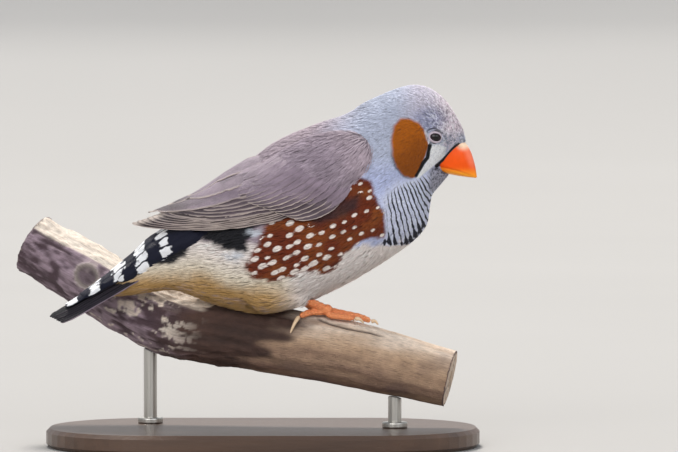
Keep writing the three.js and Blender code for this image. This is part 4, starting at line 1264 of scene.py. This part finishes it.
def wing_colours(points, facts, tags):
    """A wing's feathers: a dark vane, a pale fringe and a dark shaft."""
    u, t, kind = facts[:, 2], tags[:, 0], tags[:, 2].astype(int)
    fringe, dark = (np.array([row[key] for row in WING_ROWS.values()])[kind] for key in ("fringe", "dark"))
    paint = Paint(len(points), "wing")
    behind = smoothstep(-13, -22, points[:, 0])
    dark = np.where(kind == TERTIALS, dark + 0.7 * behind, dark) * smoothstep(0.05, 0.35, t)
    dark = np.where(kind == GREATER_COVERTS, dark * smoothstep(61, 56, points[:, 2]), dark)
    paint.layer("wing_dark", dark * smoothstep(0.99, 0.9, np.abs(u)))
    broad = mottle(points, 5.0, 4)
    slanting = facts[:, 1] * 0.5 - np.abs(facts[:, 0]) * 0.7
    strokes = mottle(np.column_stack([facts[:, 0] * 3.0, slanting]), 1.0, 12)
    strands = mottle(np.column_stack([u * 10, t * 3 + 7 * tags[:, 1]]), 1.0, 14)
    paint.colour = paint.colour * (1 + 0.16 * broad + 0.2 * strokes + 0.26 * strands)[:, None]
    rim = np.maximum(smoothstep(1 - 2 * fringe, 1 - 0.6 * fringe, np.abs(u)), smoothstep(0.95, 0.985, t))
    rim = rim * smoothstep(0.15, 0.4, t) * (0.75 + 0.25 * mottle(points, 1.5, 13))
    rim = rim * np.where(kind == MEDIAN_COVERTS, 0.25, 1)
    rim = rim * np.where(kind == GREATER_COVERTS, smoothstep(62, 57, points[:, 2]), 1)
    paint.layer("wing_edge", 0.9 * rim)
    shaft = np.exp(-(u / 0.05) ** 2)
    return paint.colour * (1 - 0.45 * shaft * (1 - 0.5 * t))[:, None], NO_MARKS


def make_wing(key, side):
    specs = []
    for kind, row in enumerate(WING_ROWS.values()):
        for i in range(row["count"]):
            share = i / (row["count"] - 1)
            specs.append({
                **{part: between(row[part], share) for part in ("root", "bend", "tip")},
                **{part: float(np.interp(share, [0, 1], row[part])) for part in ("width", "lift")},
                "tip_from": 0.62, "tilt": 0.16, "clear": row["clear"] and row["clear"] + 0.02 * i,
                "sunk": row["sunk"], "onto": on_arch, "outward": (0, side, 0.3), "index": len(specs),
                "kind": kind,
            })
    return feather_sheets(f"wing_feathers_{key}", f"wing_{key}", specs,
                          lambda x, way_round, height: on_wing(side, x, way_round, height),
                          VANE_THICKNESS, wing_colours, "wing", long_feathers)


def pad_rise(share, angle):
    """Height of the shoulder's top, steep at its front and gentle behind."""
    return (SHOULDER["height"] - SHOULDER["sunk"]) * np.maximum(1 - share ** (3 + np.cos(angle)), 0) ** 0.8


def pad_height(x, way_round):
    middle_x, middle_round = on_arch(*SHOULDER["at"])
    cos, sin = math.cos(SHOULDER["slant"]), math.sin(SHOULDER["slant"])
    a = ((x - middle_x) * cos + (way_round - middle_round) * sin) / SHOULDER["radii"][0]
    b = ((way_round - middle_round) * cos - (x - middle_x) * sin) / SHOULDER["radii"][1]
    return pad_rise(np.minimum(np.hypot(a, b), 1), np.arctan2(b, a))


def pad_points(side, around, along):
    """The rounded shoulder under the small wing coverts."""
    pad = SHOULDER
    middle_x, middle_round = on_arch(*pad["at"])
    angle = math.tau * around
    rim = along < pad["rim"]
    share = np.where(rim, 1.0, 1 - (along - pad["rim"]) / (1 - pad["rim"]))
    height = np.where(rim, -pad["depth"] + (along / pad["rim"]) * pad["depth"], pad_rise(share, angle))
    a, b = pad["radii"][0] * share * np.cos(angle), pad["radii"][1] * share * np.sin(angle)
    x = middle_x + a * math.cos(pad["slant"]) - b * math.sin(pad["slant"])
    way_round = middle_round + a * math.sin(pad["slant"]) + b * math.cos(pad["slant"])
    return on_wing(side, x, way_round, height)


def make_shoulder(key, side):
    """The rounded shoulder, and the small coverts that grow on it."""
    bm = bmesh.new()
    tube(bm, 72, 40, lambda u, v: pad_points(side, u, v))
    bmesh.ops.remove_doubles(bm, verts=bm.verts, dist=0.01)
    bmesh.ops.recalc_face_normals(bm, faces=bm.faces)
    mesh = from_bmesh(f"shoulder_{key}", bm)
    set_plumage(mesh, Paint(len(mesh.vertices), "back").colour * 0.8)
    pad = mesh_object(f"shoulder_{key}", mesh, "wing", downy_skin)

    roots, normals = scatter(mesh, lambda p: np.full(len(p), COAT_COVER / SHOULDER_FEATHER["area"]))
    low_edge = np.interp(roots[:, 0], *np.transpose(SHOULDER_LOW))
    keep = (normals[:, 1] * side > -0.2) & (roots[:, 2] > low_edge)
    roots, normals = roots[keep], normals[keep]
    x, z = roots[:, 0], roots[:, 2]
    count = len(roots)
    lie = np.column_stack([np.full(count, -0.9), np.zeros(count), -0.35 - 0.03 * (x - 8) - 0.02 * (z - 64)])
    lie = lie + random.normal(0, COAT_WILD, (count, 3))
    length = random.uniform(*SHOULDER_FEATHER["length"], count)
    width = random.uniform(*SHOULDER_FEATHER["width"], count)
    lift = random.uniform(*SHOULDER_FEATHER["lift"], count)
    seats = np.column_stack([0.01 + 0.98 * (way - way.min()) / np.ptp(way) for way in (x, z)])

    def colour_of(points, owner):
        paint = Paint(len(points), "back")
        paint.layer("mantle", smoothstep(14, 26, points[:, 0] + 0.5 * (points[:, 2] - 66)))
        streak = mottle(points @ np.array([[0.25, 0, 0.1], [0, 1, 0], [-0.6, 0, 1.0]]), 0.9, 6)
        broad = mottle(points, 3.5, 16)
        return paint.colour * (1.1 + 0.25 * streak + 0.16 * broad)[:, None], NO_MARKS

    grow_feathers(f"shoulder_feathers_{key}", mesh_tree(mesh), roots, normals, lie, length, width, lift,
                  seats, np.full(count, SHOULDER_FEATHER["variety"]), colour_of, "wing")
    return pad


# The tail

def tail_point(back, side, rise):
    """A point of the tail's own sloping frame in space."""
    cos, sin = math.cos(TAIL["slope"]), math.sin(TAIL["slope"])
    x, z = TAIL["root"]
    return np.column_stack([x - back * cos - rise * sin, side, z - back * sin + rise * cos])


def on_tail(back, side, height):
    return tail_point(back, side, height - TAIL["droop"] * np.abs(side))


def rump_at(back):
    top, bottom, half = (np.interp(back, RUMP[:, 0], RUMP[:, k]) for k in (1, 2, 3))
    rise = (top - bottom) / 2
    return top - rise, rise, half, (rise + half) / 2


def on_rump(back, arc, height):
    """A point over the rounded root of the tail: way back, way round from the top, and height."""
    def surface(back, arc):
        middle, rise, half, radius = rump_at(back)
        angle = arc / radius
        return tail_point(back, half * np.sin(angle), middle + rise * np.cos(angle))

    step = 0.3
    forward = surface(back - step, arc) - surface(back + step, arc)
    down = surface(back, arc + step) - surface(back, arc - step)
    out = np.cross(down, forward)
    out /= np.linalg.norm(out, axis=1, keepdims=True)
    return surface(back, arc) - out * np.asarray(height)[:, None]


def arc_at(back, degrees):
    return back, np.radians(degrees) * rump_at(back)[3]


def tail_colours(points, facts, tags):
    """Black tail feathers with pale outer edges, and white coverts with slanting black bars."""
    u, kind = facts[:, 2], tags[:, 2]
    paint = Paint(len(points), "rump")
    outermost = tags[:, 1] >= 2 * TAIL["pairs"] - 2
    paint.layer("wing", smoothstep(0.84, 0.97, np.abs(u)) * (kind == 0) * np.where(outermost, 1.0, 0.15))
    barred = kind > 0
    paint.colour[barred] = tint("white")
    cos, sin = math.cos(TAIL["slope"]), math.sin(TAIL["slope"])
    back = (TAIL["root"][0] - points[:, 0]) * cos + (TAIL["root"][1] - points[:, 2]) * sin
    slanted = back + 0.25 * points[:, 2] - 9.0 + 0.35 * mottle(points, 1.2, 8)
    phase = (slanted - TAIL_BARS["last"]) / TAIL_BARS["period"] + 0.75
    dark = TAIL_BARS["dark"] + 0.5 * smoothstep(0.55, 0.9, np.abs(u))
    weight = np.where(barred, np.where(back < -1.5, 1.2, dark), 0.0)
    return paint.colour, np.column_stack([phase, weight, np.full(len(points), NO_SPOT)])


def make_tail():
    feathers = []
    for pair in range(TAIL["pairs"]):
        for hand in (-1, 1):
            feathers.append({
                "root": (0.5, hand * (0.5 + 0.2 * pair)),
                "bend": (TAIL["length"] * 0.5, hand * (TAIL["inner"] + 0.65 * TAIL["spread"] * pair)),
                "tip": (TAIL["length"] - TAIL["shortening"] * pair,
                        hand * (TAIL["inner"] + TAIL["spread"] * pair)),
                "width": TAIL["width"], "lift": -TAIL["tier"] * pair, "tip_from": 0.8, "tilt": -0.05 * hand,
                "clear": 0, "sunk": 0, "onto": lambda back, side: (back, side), "outward": (-0.5, 0, 1),
                "index": len(feathers), "kind": 0,
            })
    coverts = []
    for tier, (reach, angles) in enumerate(TAIL_COVERTS):
        start = reach - COVERT["length"]
        for degrees in angles:
            for hand in (-1, 1):
                end = reach - 0.012 * degrees * (tier > 0)
                angle = math.radians(degrees)
                coverts.append({
                    "root": (start, hand * degrees), "bend": ((start + end) / 2, hand * degrees * 1.04),
                    "tip": (end, hand * degrees), "width": COVERT["width"],
                    "lift": COVERT["lift"] + COVERT["tier"] * tier - 0.12 * (degrees > 25),
                    "tip_from": 0.7, "tilt": 0.08 * hand, "clear": 0, "sunk": 0, "onto": arc_at,
                    "outward": (0.3, hand * math.sin(angle), math.cos(angle)),
                    "index": len(coverts), "kind": tier + 1,
                })
    return [
        feather_sheets("tail_vanes", "tail", feathers, on_tail, VANE_THICKNESS, tail_colours, "tail",
                       tail_vane_horn),
        feather_sheets("tail_covert_vanes", "uppertail_coverts", coverts, on_rump, COVERT["thickness"],
                       tail_colours, "tail", tail_vane_horn),
    ]


# Bill, eyes, feet

def make_bill(upper):
    """One half of the bill, from its root inside the face to its tip."""
    edge = BILL["culmen"] if upper else BILL["gonys"]
    outer = 0.72  # share of the way round that is the horn's outside

    def place(u, v):
        s = 3 * v
        mouth = np.column_stack([smooth([p[k] for p in BILL["mouth"]], s) for k in (0, 1)])
        rim = np.column_stack([smooth([p[k] for p in edge], s) for k in (0, 1)])
        half = smooth(BILL["half"], s) * (1 if upper else BILL["lower_share"])
        angle = math.pi * np.minimum(u / outer, 1)
        level = np.sin(angle) ** BILL["swell"]
        back = np.maximum(0, (u - outer) / (1 - outer))
        across = np.where(u <= outer, np.cos(angle), -1 + 2 * back)
        sunk = 0.12 * np.sin(math.pi * back)
        at = mouth + (rim - mouth) * (level - sunk)[:, None]
        return turned(np.column_stack([at[:, 0], across * half, at[:, 1]]), 1)

    name = "bill_ridge" if upper else "bill_floor"
    bm = bmesh.new()
    tube(bm, 64, 56, place)
    bmesh.ops.recalc_face_normals(bm, faces=bm.faces)
    mesh = from_bmesh(name, bm)
    points = points_of(mesh)
    own = turned(points, -1)
    side = own[:, [0, 2]]
    from_ridge, run = line_distance(side, BILL["culmen"])
    near = np.hypot(own[:, 0] - NOSTRIL["at"][0], own[:, 2] - NOSTRIL["at"][1]) / NOSTRIL["radius"]
    hole = smoothstep(1.3, 0.4, near) * upper
    normals = normals_of(mesh)
    move_points(mesh, points - normals * (NOSTRIL["depth"] * hole)[:, None])
    paint = Paint(len(points), "horn")
    paint.layer("horn_light", 0.8 * smoothstep(2.6, 0.4, own[:, 2] - 63.4) + 0.3 * (not upper))
    # painted highlight: pale pink along the culmen
    paint.layer("culmen_highlight", 0.6 * smoothstep(1.6, 0.3, from_ridge) * smoothstep(0.9, 0.6, run))
    paint.layer("horn_cream", 0.95 * smoothstep(2.3, 0.5, np.hypot(side[:, 0] - 47.6, side[:, 1] - 71.4)))
    # painted shade in the nostril's hollow
    paint.layer("scar", 0.2 * hole)
    set_colours(mesh, "horn", paint.colour)
    return mesh_object(name, mesh, "bill", bill_horn, "bill_upper" if upper else "bill_lower")


def make_eye(key, side):
    """The eyeball, with a low bulge over its pupil."""
    bm = bmesh.new()
    bmesh.ops.create_uvsphere(bm, u_segments=48, v_segments=32, radius=EYE["radius"],
                              matrix=Matrix.Rotation(math.pi / 2, 4, "X"))
    for vert in bm.verts:
        out = max(0.0, vert.co.y / EYE["radius"])
        vert.co.y += 0.12 * max(0.0, (out - 0.8) / 0.2)
    at = np.array([vert.co for vert in bm.verts])
    pupil = (1 - smoothstep(0.55, 0.68, np.hypot(at[:, 0], at[:, 2]))) * (at[:, 1] > 0)
    bmesh.ops.transform(bm, matrix=eye_matrix(side), verts=bm.verts)
    bmesh.ops.recalc_face_normals(bm, faces=bm.faces)
    mesh = from_bmesh(f"eyeball_{key}", bm)
    layer = mesh.attributes.new("pupil", "FLOAT", "POINT")
    layer.data.foreach_set("value", pupil.astype(np.float32))
    mesh_object(f"eyeball_{key}", mesh, "eye", eye_gloss, f"eye_{key}")


def make_lids(key, side):
    """A ring of bare skin that hugs the eyeball round the opening."""
    long_way, short_way = EYE["opening"]

    def place(u, v):
        angle, ring = math.tau * v, math.tau * u
        bead = 1 + 0.1 * np.sin(20 * angle)
        out = 0.1 + 0.24 * np.cos(ring)
        x = (long_way + out) * np.cos(angle)
        z = (short_way + out) * np.sin(angle)
        radial = np.hypot(x, z)
        y = np.sqrt(np.maximum(EYE["radius"] ** 2 - radial ** 2, 0.8)) + 0.06 + 0.2 * bead * np.sin(ring)
        return np.column_stack([x, y, z])

    bm = bmesh.new()
    sheet(bm, 10, 64, place)
    bmesh.ops.remove_doubles(bm, verts=bm.verts, dist=1e-4)
    bmesh.ops.transform(bm, matrix=eye_matrix(side), verts=bm.verts)
    bmesh.ops.recalc_face_normals(bm, faces=bm.faces)
    mesh_object(f"eyelids_{key}", from_bmesh(f"eyelids_{key}", bm), "leg", lid_skin)


TOES = ("middle", "inner", "outer", "hind")
FOOT_GROWN, FOOT_SHRUNK = 0.17, 0.14  # before and after the CAD parts are fused into one skin
CLAW_GROWN = 0.14  # makes up for what the rounding takes


def make_foot(key):
    """Tarsus, ball and toes as one scaly skin."""
    nodes = [f"tarsus_{key}", *(f"toe_{toe}_{key}" for toe in TOES)]
    bm = node_copies(*nodes)
    grow(bm, FOOT_GROWN)
    mesh = fused(f"foot_{key}", bm, 0.12, 1)
    move_points(mesh, points_of(mesh) - normals_of(mesh) * FOOT_SHRUNK)
    mesh_object(f"foot_{key}", mesh, "leg", leg_skin, *nodes)


def make_claws(key):
    """The CAD claws with their faces rounded."""
    nodes = [f"claw_{toe}_{key}" for toe in TOES]
    bm = node_copies(*nodes)
    bmesh.ops.recalc_face_normals(bm, faces=bm.faces)
    grow(bm, CLAW_GROWN)
    bmesh.ops.join_triangles(bm, faces=bm.faces, angle_face_threshold=0.7, angle_shape_threshold=0.7)
    claws = mesh_object(f"claws_{key}", from_bmesh(f"claws_{key}", bm), "claw", claw_horn, *nodes)
    rounding = claws.modifiers.new("rounding", "SUBSURF")
    rounding.levels = rounding.render_levels = 1


# Branch and stand

# The axis of the branch and its radius, the same as in the part's source: x, y, z, radius
PERCH = np.array([
    (-55.3, 21.0, 46.8, 7.6),
    (-44.2, 17.0, 40.7, 8.0),
    (-23.0, 9.2, 29.4, 8.3),
    (-3.0, 3.4, 25.6, 8.0),
    (20.5, -1.5, 21.8, 7.9),
    (44.0, -5.0, 16.2, 6.9),
])
CRACK = [(12.2, 30.6), (15.8, 29.2), (20.5, 28.0), (25.0, 27.2), (29.9, 25.9)]
TWIG_SCAR = {"at": (-41.9, 39.8), "radius": 2.5}
KNOT = {"at": (27.0, 17.9), "radius": 2.6}


def branch_frame(points):
    """Place along the branch, angle round it from its top towards the camera, radius, and way along."""
    axis = PERCH[:, :3]
    fine = np.column_stack([smooth(axis[:, k], np.linspace(0, len(axis) - 1, 101)) for k in range(3)])
    run = np.concatenate([[0], np.cumsum(np.linalg.norm(np.diff(fine, axis=0), axis=1))])
    nearest = np.linalg.norm(points[:, None] - fine[None], axis=2).argmin(1)
    way = np.gradient(fine, axis=0)
    way /= np.linalg.norm(way, axis=1, keepdims=True)
    out = points - fine[nearest]
    side = np.cross(way, (0, 0, 1))
    side /= np.linalg.norm(side, axis=1, keepdims=True)
    side[side[:, 1] > 0] *= -1
    up = np.cross(side, way)
    up[up[:, 2] < 0] *= -1
    across, upward = (out * side[nearest]).sum(1), (out * up[nearest]).sum(1)
    along = run[nearest] + (out * way[nearest]).sum(1)
    return along, np.arctan2(across, upward), np.hypot(across, upward), way[nearest]


def make_branch():
    """The cut branch: old split bark and bare wood on its left, smooth wood with a crack on its right."""
    bm = node_copies("perch")
    bmesh.ops.join_triangles(bm, faces=bm.faces, angle_face_threshold=0.7, angle_shape_threshold=0.7)
    mesh = fused("branch", bm, 0.4, 3)
    points, normals = points_of(mesh), normals_of(mesh)
    along, angle, radius, way = branch_frame(points)
    sides = np.abs((normals * way).sum(1)) < 0.7
    near_side = points[:, 1] < np.interp(points[:, 0], PERCH[:, 0], PERCH[:, 1])
    wrapped = np.column_stack([np.cos(angle), np.sin(angle)]) * 8
    strips = mottle(np.column_stack([along * 0.16, wrapped]), 1.5, 22)
    fine_strips = mottle(np.column_stack([along * 0.3, wrapped]), 0.6, 24)
    lumps = 0.6 * mottle(points, 5.0, 20) + 0.3 * mottle(points, 1.9, 21)
    wander = mottle(np.column_stack([along * 0.4, wrapped]), 2.2, 23)
    old = smoothstep(75, 68, along + 5 * wander + 4 * np.abs(angle - 0.6))
    top = smoothstep(1.5, 0.3, np.abs(angle - 0.05) + 0.25 * wander)

    bare = top * smoothstep(56, 48, along + 3 * wander) - 0.62 + 0.3 * wander + 0.15 * strips
    peeled = old * smoothstep(-0.08, 0.08, bare)
    flakes = mottle(np.column_stack([along * 0.35, wrapped]), 1.7, 27) + 0.5 * mottle(points, 0.8, 28)
    worn = old * smoothstep(0.35, 0.6, flakes + 0.3 * fine_strips) * smoothstep(52, 40, along)
    worn = np.maximum(peeled, 0.75 * worn * smoothstep(14, 26, along))
    height = old * (0.6 * lumps + 0.35 * strips + 0.25 * fine_strips)
    height = height + (1 - old) * (0.15 * lumps + 0.08 * strips)
    height = height - 0.25 * worn * (1 - peeled)
    height = height - 0.4 * peeled - 0.12
    height = height - 0.7 * old * smoothstep(0.55, 0.85, strips) * (1 - peeled)

    side_view = points[:, [0, 2]]
    crack, run = line_distance(side_view, CRACK)
    crack = near_side * smoothstep(0.32, 0.06, crack + 0.12 * wander)
    crack = crack * smoothstep(0.0, 0.1, run) * smoothstep(1, 0.8, run)
    height = height - 0.3 * crack
    scar_out = np.hypot(*(side_view - TWIG_SCAR["at"]).T) + 0.3 * wander
    scar = near_side * smoothstep(TWIG_SCAR["radius"] + 0.5, TWIG_SCAR["radius"], scar_out)
    ring = near_side * np.exp(-((scar_out - TWIG_SCAR["radius"]) / 0.55) ** 2)
    height = height * (1 - scar) + 0.5 * ring - 0.5 * scar
    knot = near_side * np.exp(-(np.hypot(*(side_view - KNOT["at"]).T) / KNOT["radius"]) ** 2)
    height = height + 0.5 * knot
    move_points(mesh, points + normals * (height * sides)[:, None])

    def tone(first, second, share):
        return tint(first) + (tint(second) - tint(first)) * np.clip(share, 0, 1)[:, None]

    bark = tone("bark", "bark_light", 0.4 + 1.6 * lumps + 0.9 * fine_strips)
    brown = smoothstep(34, 50, along + 4 * wander)
    bark = bark + (tint("bark_brown") * (1 + 0.5 * strips)[:, None] - bark) * brown[:, None]
    peel = tone("peel", "wood_pale_and_highlight", 0.3 + 0.7 * fine_strips)
    # painted highlight: the bare wood paler on its top
    wood = tone("wood", "wood_pale_and_highlight", top * (0.8 + 0.5 * strips))
    # painted shade: the bare wood darker on its underside
    low = smoothstep(1.1, 2.2, np.abs(angle) + 0.2 * wander)
    wood = wood + (tint("wood_knot_and_shade") - wood) * (low * (0.8 + 0.4 * strips))[:, None]
    stain = smoothstep(0.25, 0.7, mottle(points, 6.0, 25)) * 0.35
    wood = wood + (tint("bark") - wood) * stain[:, None]
    colour = bark + (peel - bark) * worn[:, None]
    colour = wood + (colour - wood) * old[:, None]
    for name, mask in (("scar", 0.85 * crack), ("peel", 0.6 * ring), ("scar", 0.6 * scar),
                       ("wood_knot_and_shade", 0.5 * knot)):
        colour = colour + (tint(name) - colour) * np.clip(mask, 0, 1)[:, None]
    rings = 0.5 + 0.5 * np.sin(radius * 4.2 + 1.2 * mottle(points, 2.0, 26))
    heart = smoothstep(2.6, 0.6, radius)
    cut = tone("wood", "wood_pale_and_highlight", 0.9 - 0.7 * rings - 0.6 * heart)
    checks = smoothstep(0.93, 0.99, np.cos(3 * angle + 0.6 * lumps)) * smoothstep(0.8, 2.5, radius)
    rind = smoothstep(0.75, 0.35, np.interp(along, [0, along.max()], PERCH[[0, -1], 3]) - radius)
    cut = cut + (tint("scar") - cut) * (0.6 * checks)[:, None]
    cut = cut + (tint("bark") - cut) * rind[:, None]
    colour = np.where(sides[:, None], colour, cut)
    set_colours(mesh, "bark", np.clip(colour, 0, 1))
    set_uv(mesh, "grain", np.column_stack([along, angle * 8]))
    mesh_object("branch", mesh, "branch", branch_bark, "perch")


COLLAR = {"radius": 3.0, "height": 1.4, "bevel": 0.35}


def make_stand():
    """Finishes of the base and rods, with a collar at the foot of each rod."""
    for name, material in (("stand_base", stand_wood), ("stand_rod_a", stand_metal),
                           ("stand_rod_b", stand_metal)):
        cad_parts[name].data.materials.clear()
        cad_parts[name].data.materials.append(material)
    base_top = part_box("stand_base")[1].z / MM
    for key in "ab":
        low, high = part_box(f"stand_rod_{key}")
        x, y = (low.x + high.x) / 2 / MM, (low.y + high.y) / 2 / MM
        bm = bmesh.new()
        at = Matrix.Translation((x, y, base_top + COLLAR["height"] / 2))
        bmesh.ops.create_cone(bm, cap_ends=True, segments=48, radius1=COLLAR["radius"],
                              radius2=COLLAR["radius"], depth=COLLAR["height"], matrix=at)
        rims = [e for e in bm.edges if abs(e.verts[0].co.z - e.verts[1].co.z) < 1e-4]
        bmesh.ops.bevel(bm, geom=rims, offset=COLLAR["bevel"], segments=3, profile=0.5, affect="EDGES",
                        material=-1)
        name = f"stand_collar_{key}"
        mesh_object(name, from_bmesh(name, bm, False), "metal", stand_metal)


# Camera, floor and light

# The floor in metres: distance from the middle and height, flat and then curved up to a low wall
FLOOR_PROFILE = [(0.0, 0.0), (1.6, 0.0), (2.0, 0.03), (2.3, 0.13), (2.5, 0.3), (2.6, 0.6)]
# Name, direction it comes from, strength, spread in degrees and colour
LAMPS = [
    ("key", (-0.4, -1.0, 0.5), 1.2, 40, (1.0, 0.98, 0.96)),
    ("fill", (0.7, -1.0, 0.26), 1.15, 50, (0.96, 0.97, 1.0)),
    ("rim", (-0.15, 0.6, 1.0), 4.2, 14, (1.0, 0.95, 0.88)),
]


SKY = {"colour": (0.93, 0.96, 1.0, 1), "strength": 0.66}


def make_camera():
    camera = linked("camera", bpy.data.cameras.new("camera"))
    back = Vector((0, -math.cos(VIEW_RISE), math.sin(VIEW_RISE)))
    camera.location = (Vector(VIEW_CENTRE) + back * VIEW_DISTANCE) * MM
    camera.rotation_mode = "QUATERNION"
    camera.rotation_quaternion = (-back).to_track_quat("-Z", "Y")
    camera.data.sensor_width = SENSOR
    camera.data.lens = SENSOR * VIEW_DISTANCE / VIEW_WIDTH
    camera.data.clip_start, camera.data.clip_end = 0.05, 50
    bpy.context.scene.camera = camera


def make_floor():
    bm = bmesh.new()
    verts = [bm.verts.new((x, 0, z)) for x, z in FLOOR_PROFILE]
    edges = [bm.edges.new(pair) for pair in zip(verts, verts[1:])]
    bmesh.ops.spin(bm, geom=[*verts, *edges], cent=(0, 0, 0), axis=(0, 0, 1), angle=math.tau, steps=96,
                   use_merge=True, use_duplicate=False)
    bmesh.ops.remove_doubles(bm, verts=bm.verts, dist=1e-5)
    bmesh.ops.recalc_face_normals(bm, faces=bm.faces)
    if sum(face.normal.z for face in bm.faces) < 0:
        bmesh.ops.reverse_faces(bm, faces=bm.faces)
    mesh = bpy.data.meshes.new("floor")
    bm.to_mesh(mesh)
    bm.free()
    mesh.polygons.foreach_set("use_smooth", [True] * len(mesh.polygons))
    mesh.materials.append(floor_paper)
    linked("floor", mesh)


def make_light():
    world = bpy.data.worlds.new("studio")
    world.use_nodes = True
    sky = world.node_tree.nodes["Background"].inputs
    sky["Color"].default_value = SKY["colour"]
    sky["Strength"].default_value = SKY["strength"]
    bpy.context.scene.world = world
    for name, at, strength, spread, colour in LAMPS:
        lamp = linked(name, bpy.data.lights.new(name, "SUN"))
        lamp.data.energy = strength
        lamp.data.angle = math.radians(spread)
        lamp.data.color = colour
        lamp.location = at
        lamp.rotation_mode = "QUATERNION"
        lamp.rotation_quaternion = (-Vector(at)).to_track_quat("-Z", "Y")
    bpy.context.scene.view_settings.view_transform = "Standard"


make_camera()
make_floor()
make_light()
bill = [make_bill(upper) for upper in (True, False)]
both_halves = bmesh.new()
for half in bill:
    both_halves.from_mesh(half.data)
bmesh.ops.scale(both_halves, vec=(1 / MM,) * 3, verts=both_halves.verts)
skin = make_skin(BVHTree.FromBMesh(both_halves))
both_halves.free()
SIDES = (("r", -1), ("l", 1))
over = list(bill)
for key, side in SIDES:
    over.append(make_wing(key, side))
    over.append(make_shoulder(key, side))
over.extend(make_tail())
make_coat(skin, over)
for key, side in SIDES:
    make_eye(key, side)
    make_lids(key, side)
for key, _ in SIDES:
    make_foot(key)
    make_claws(key)
make_branch()
make_stand()
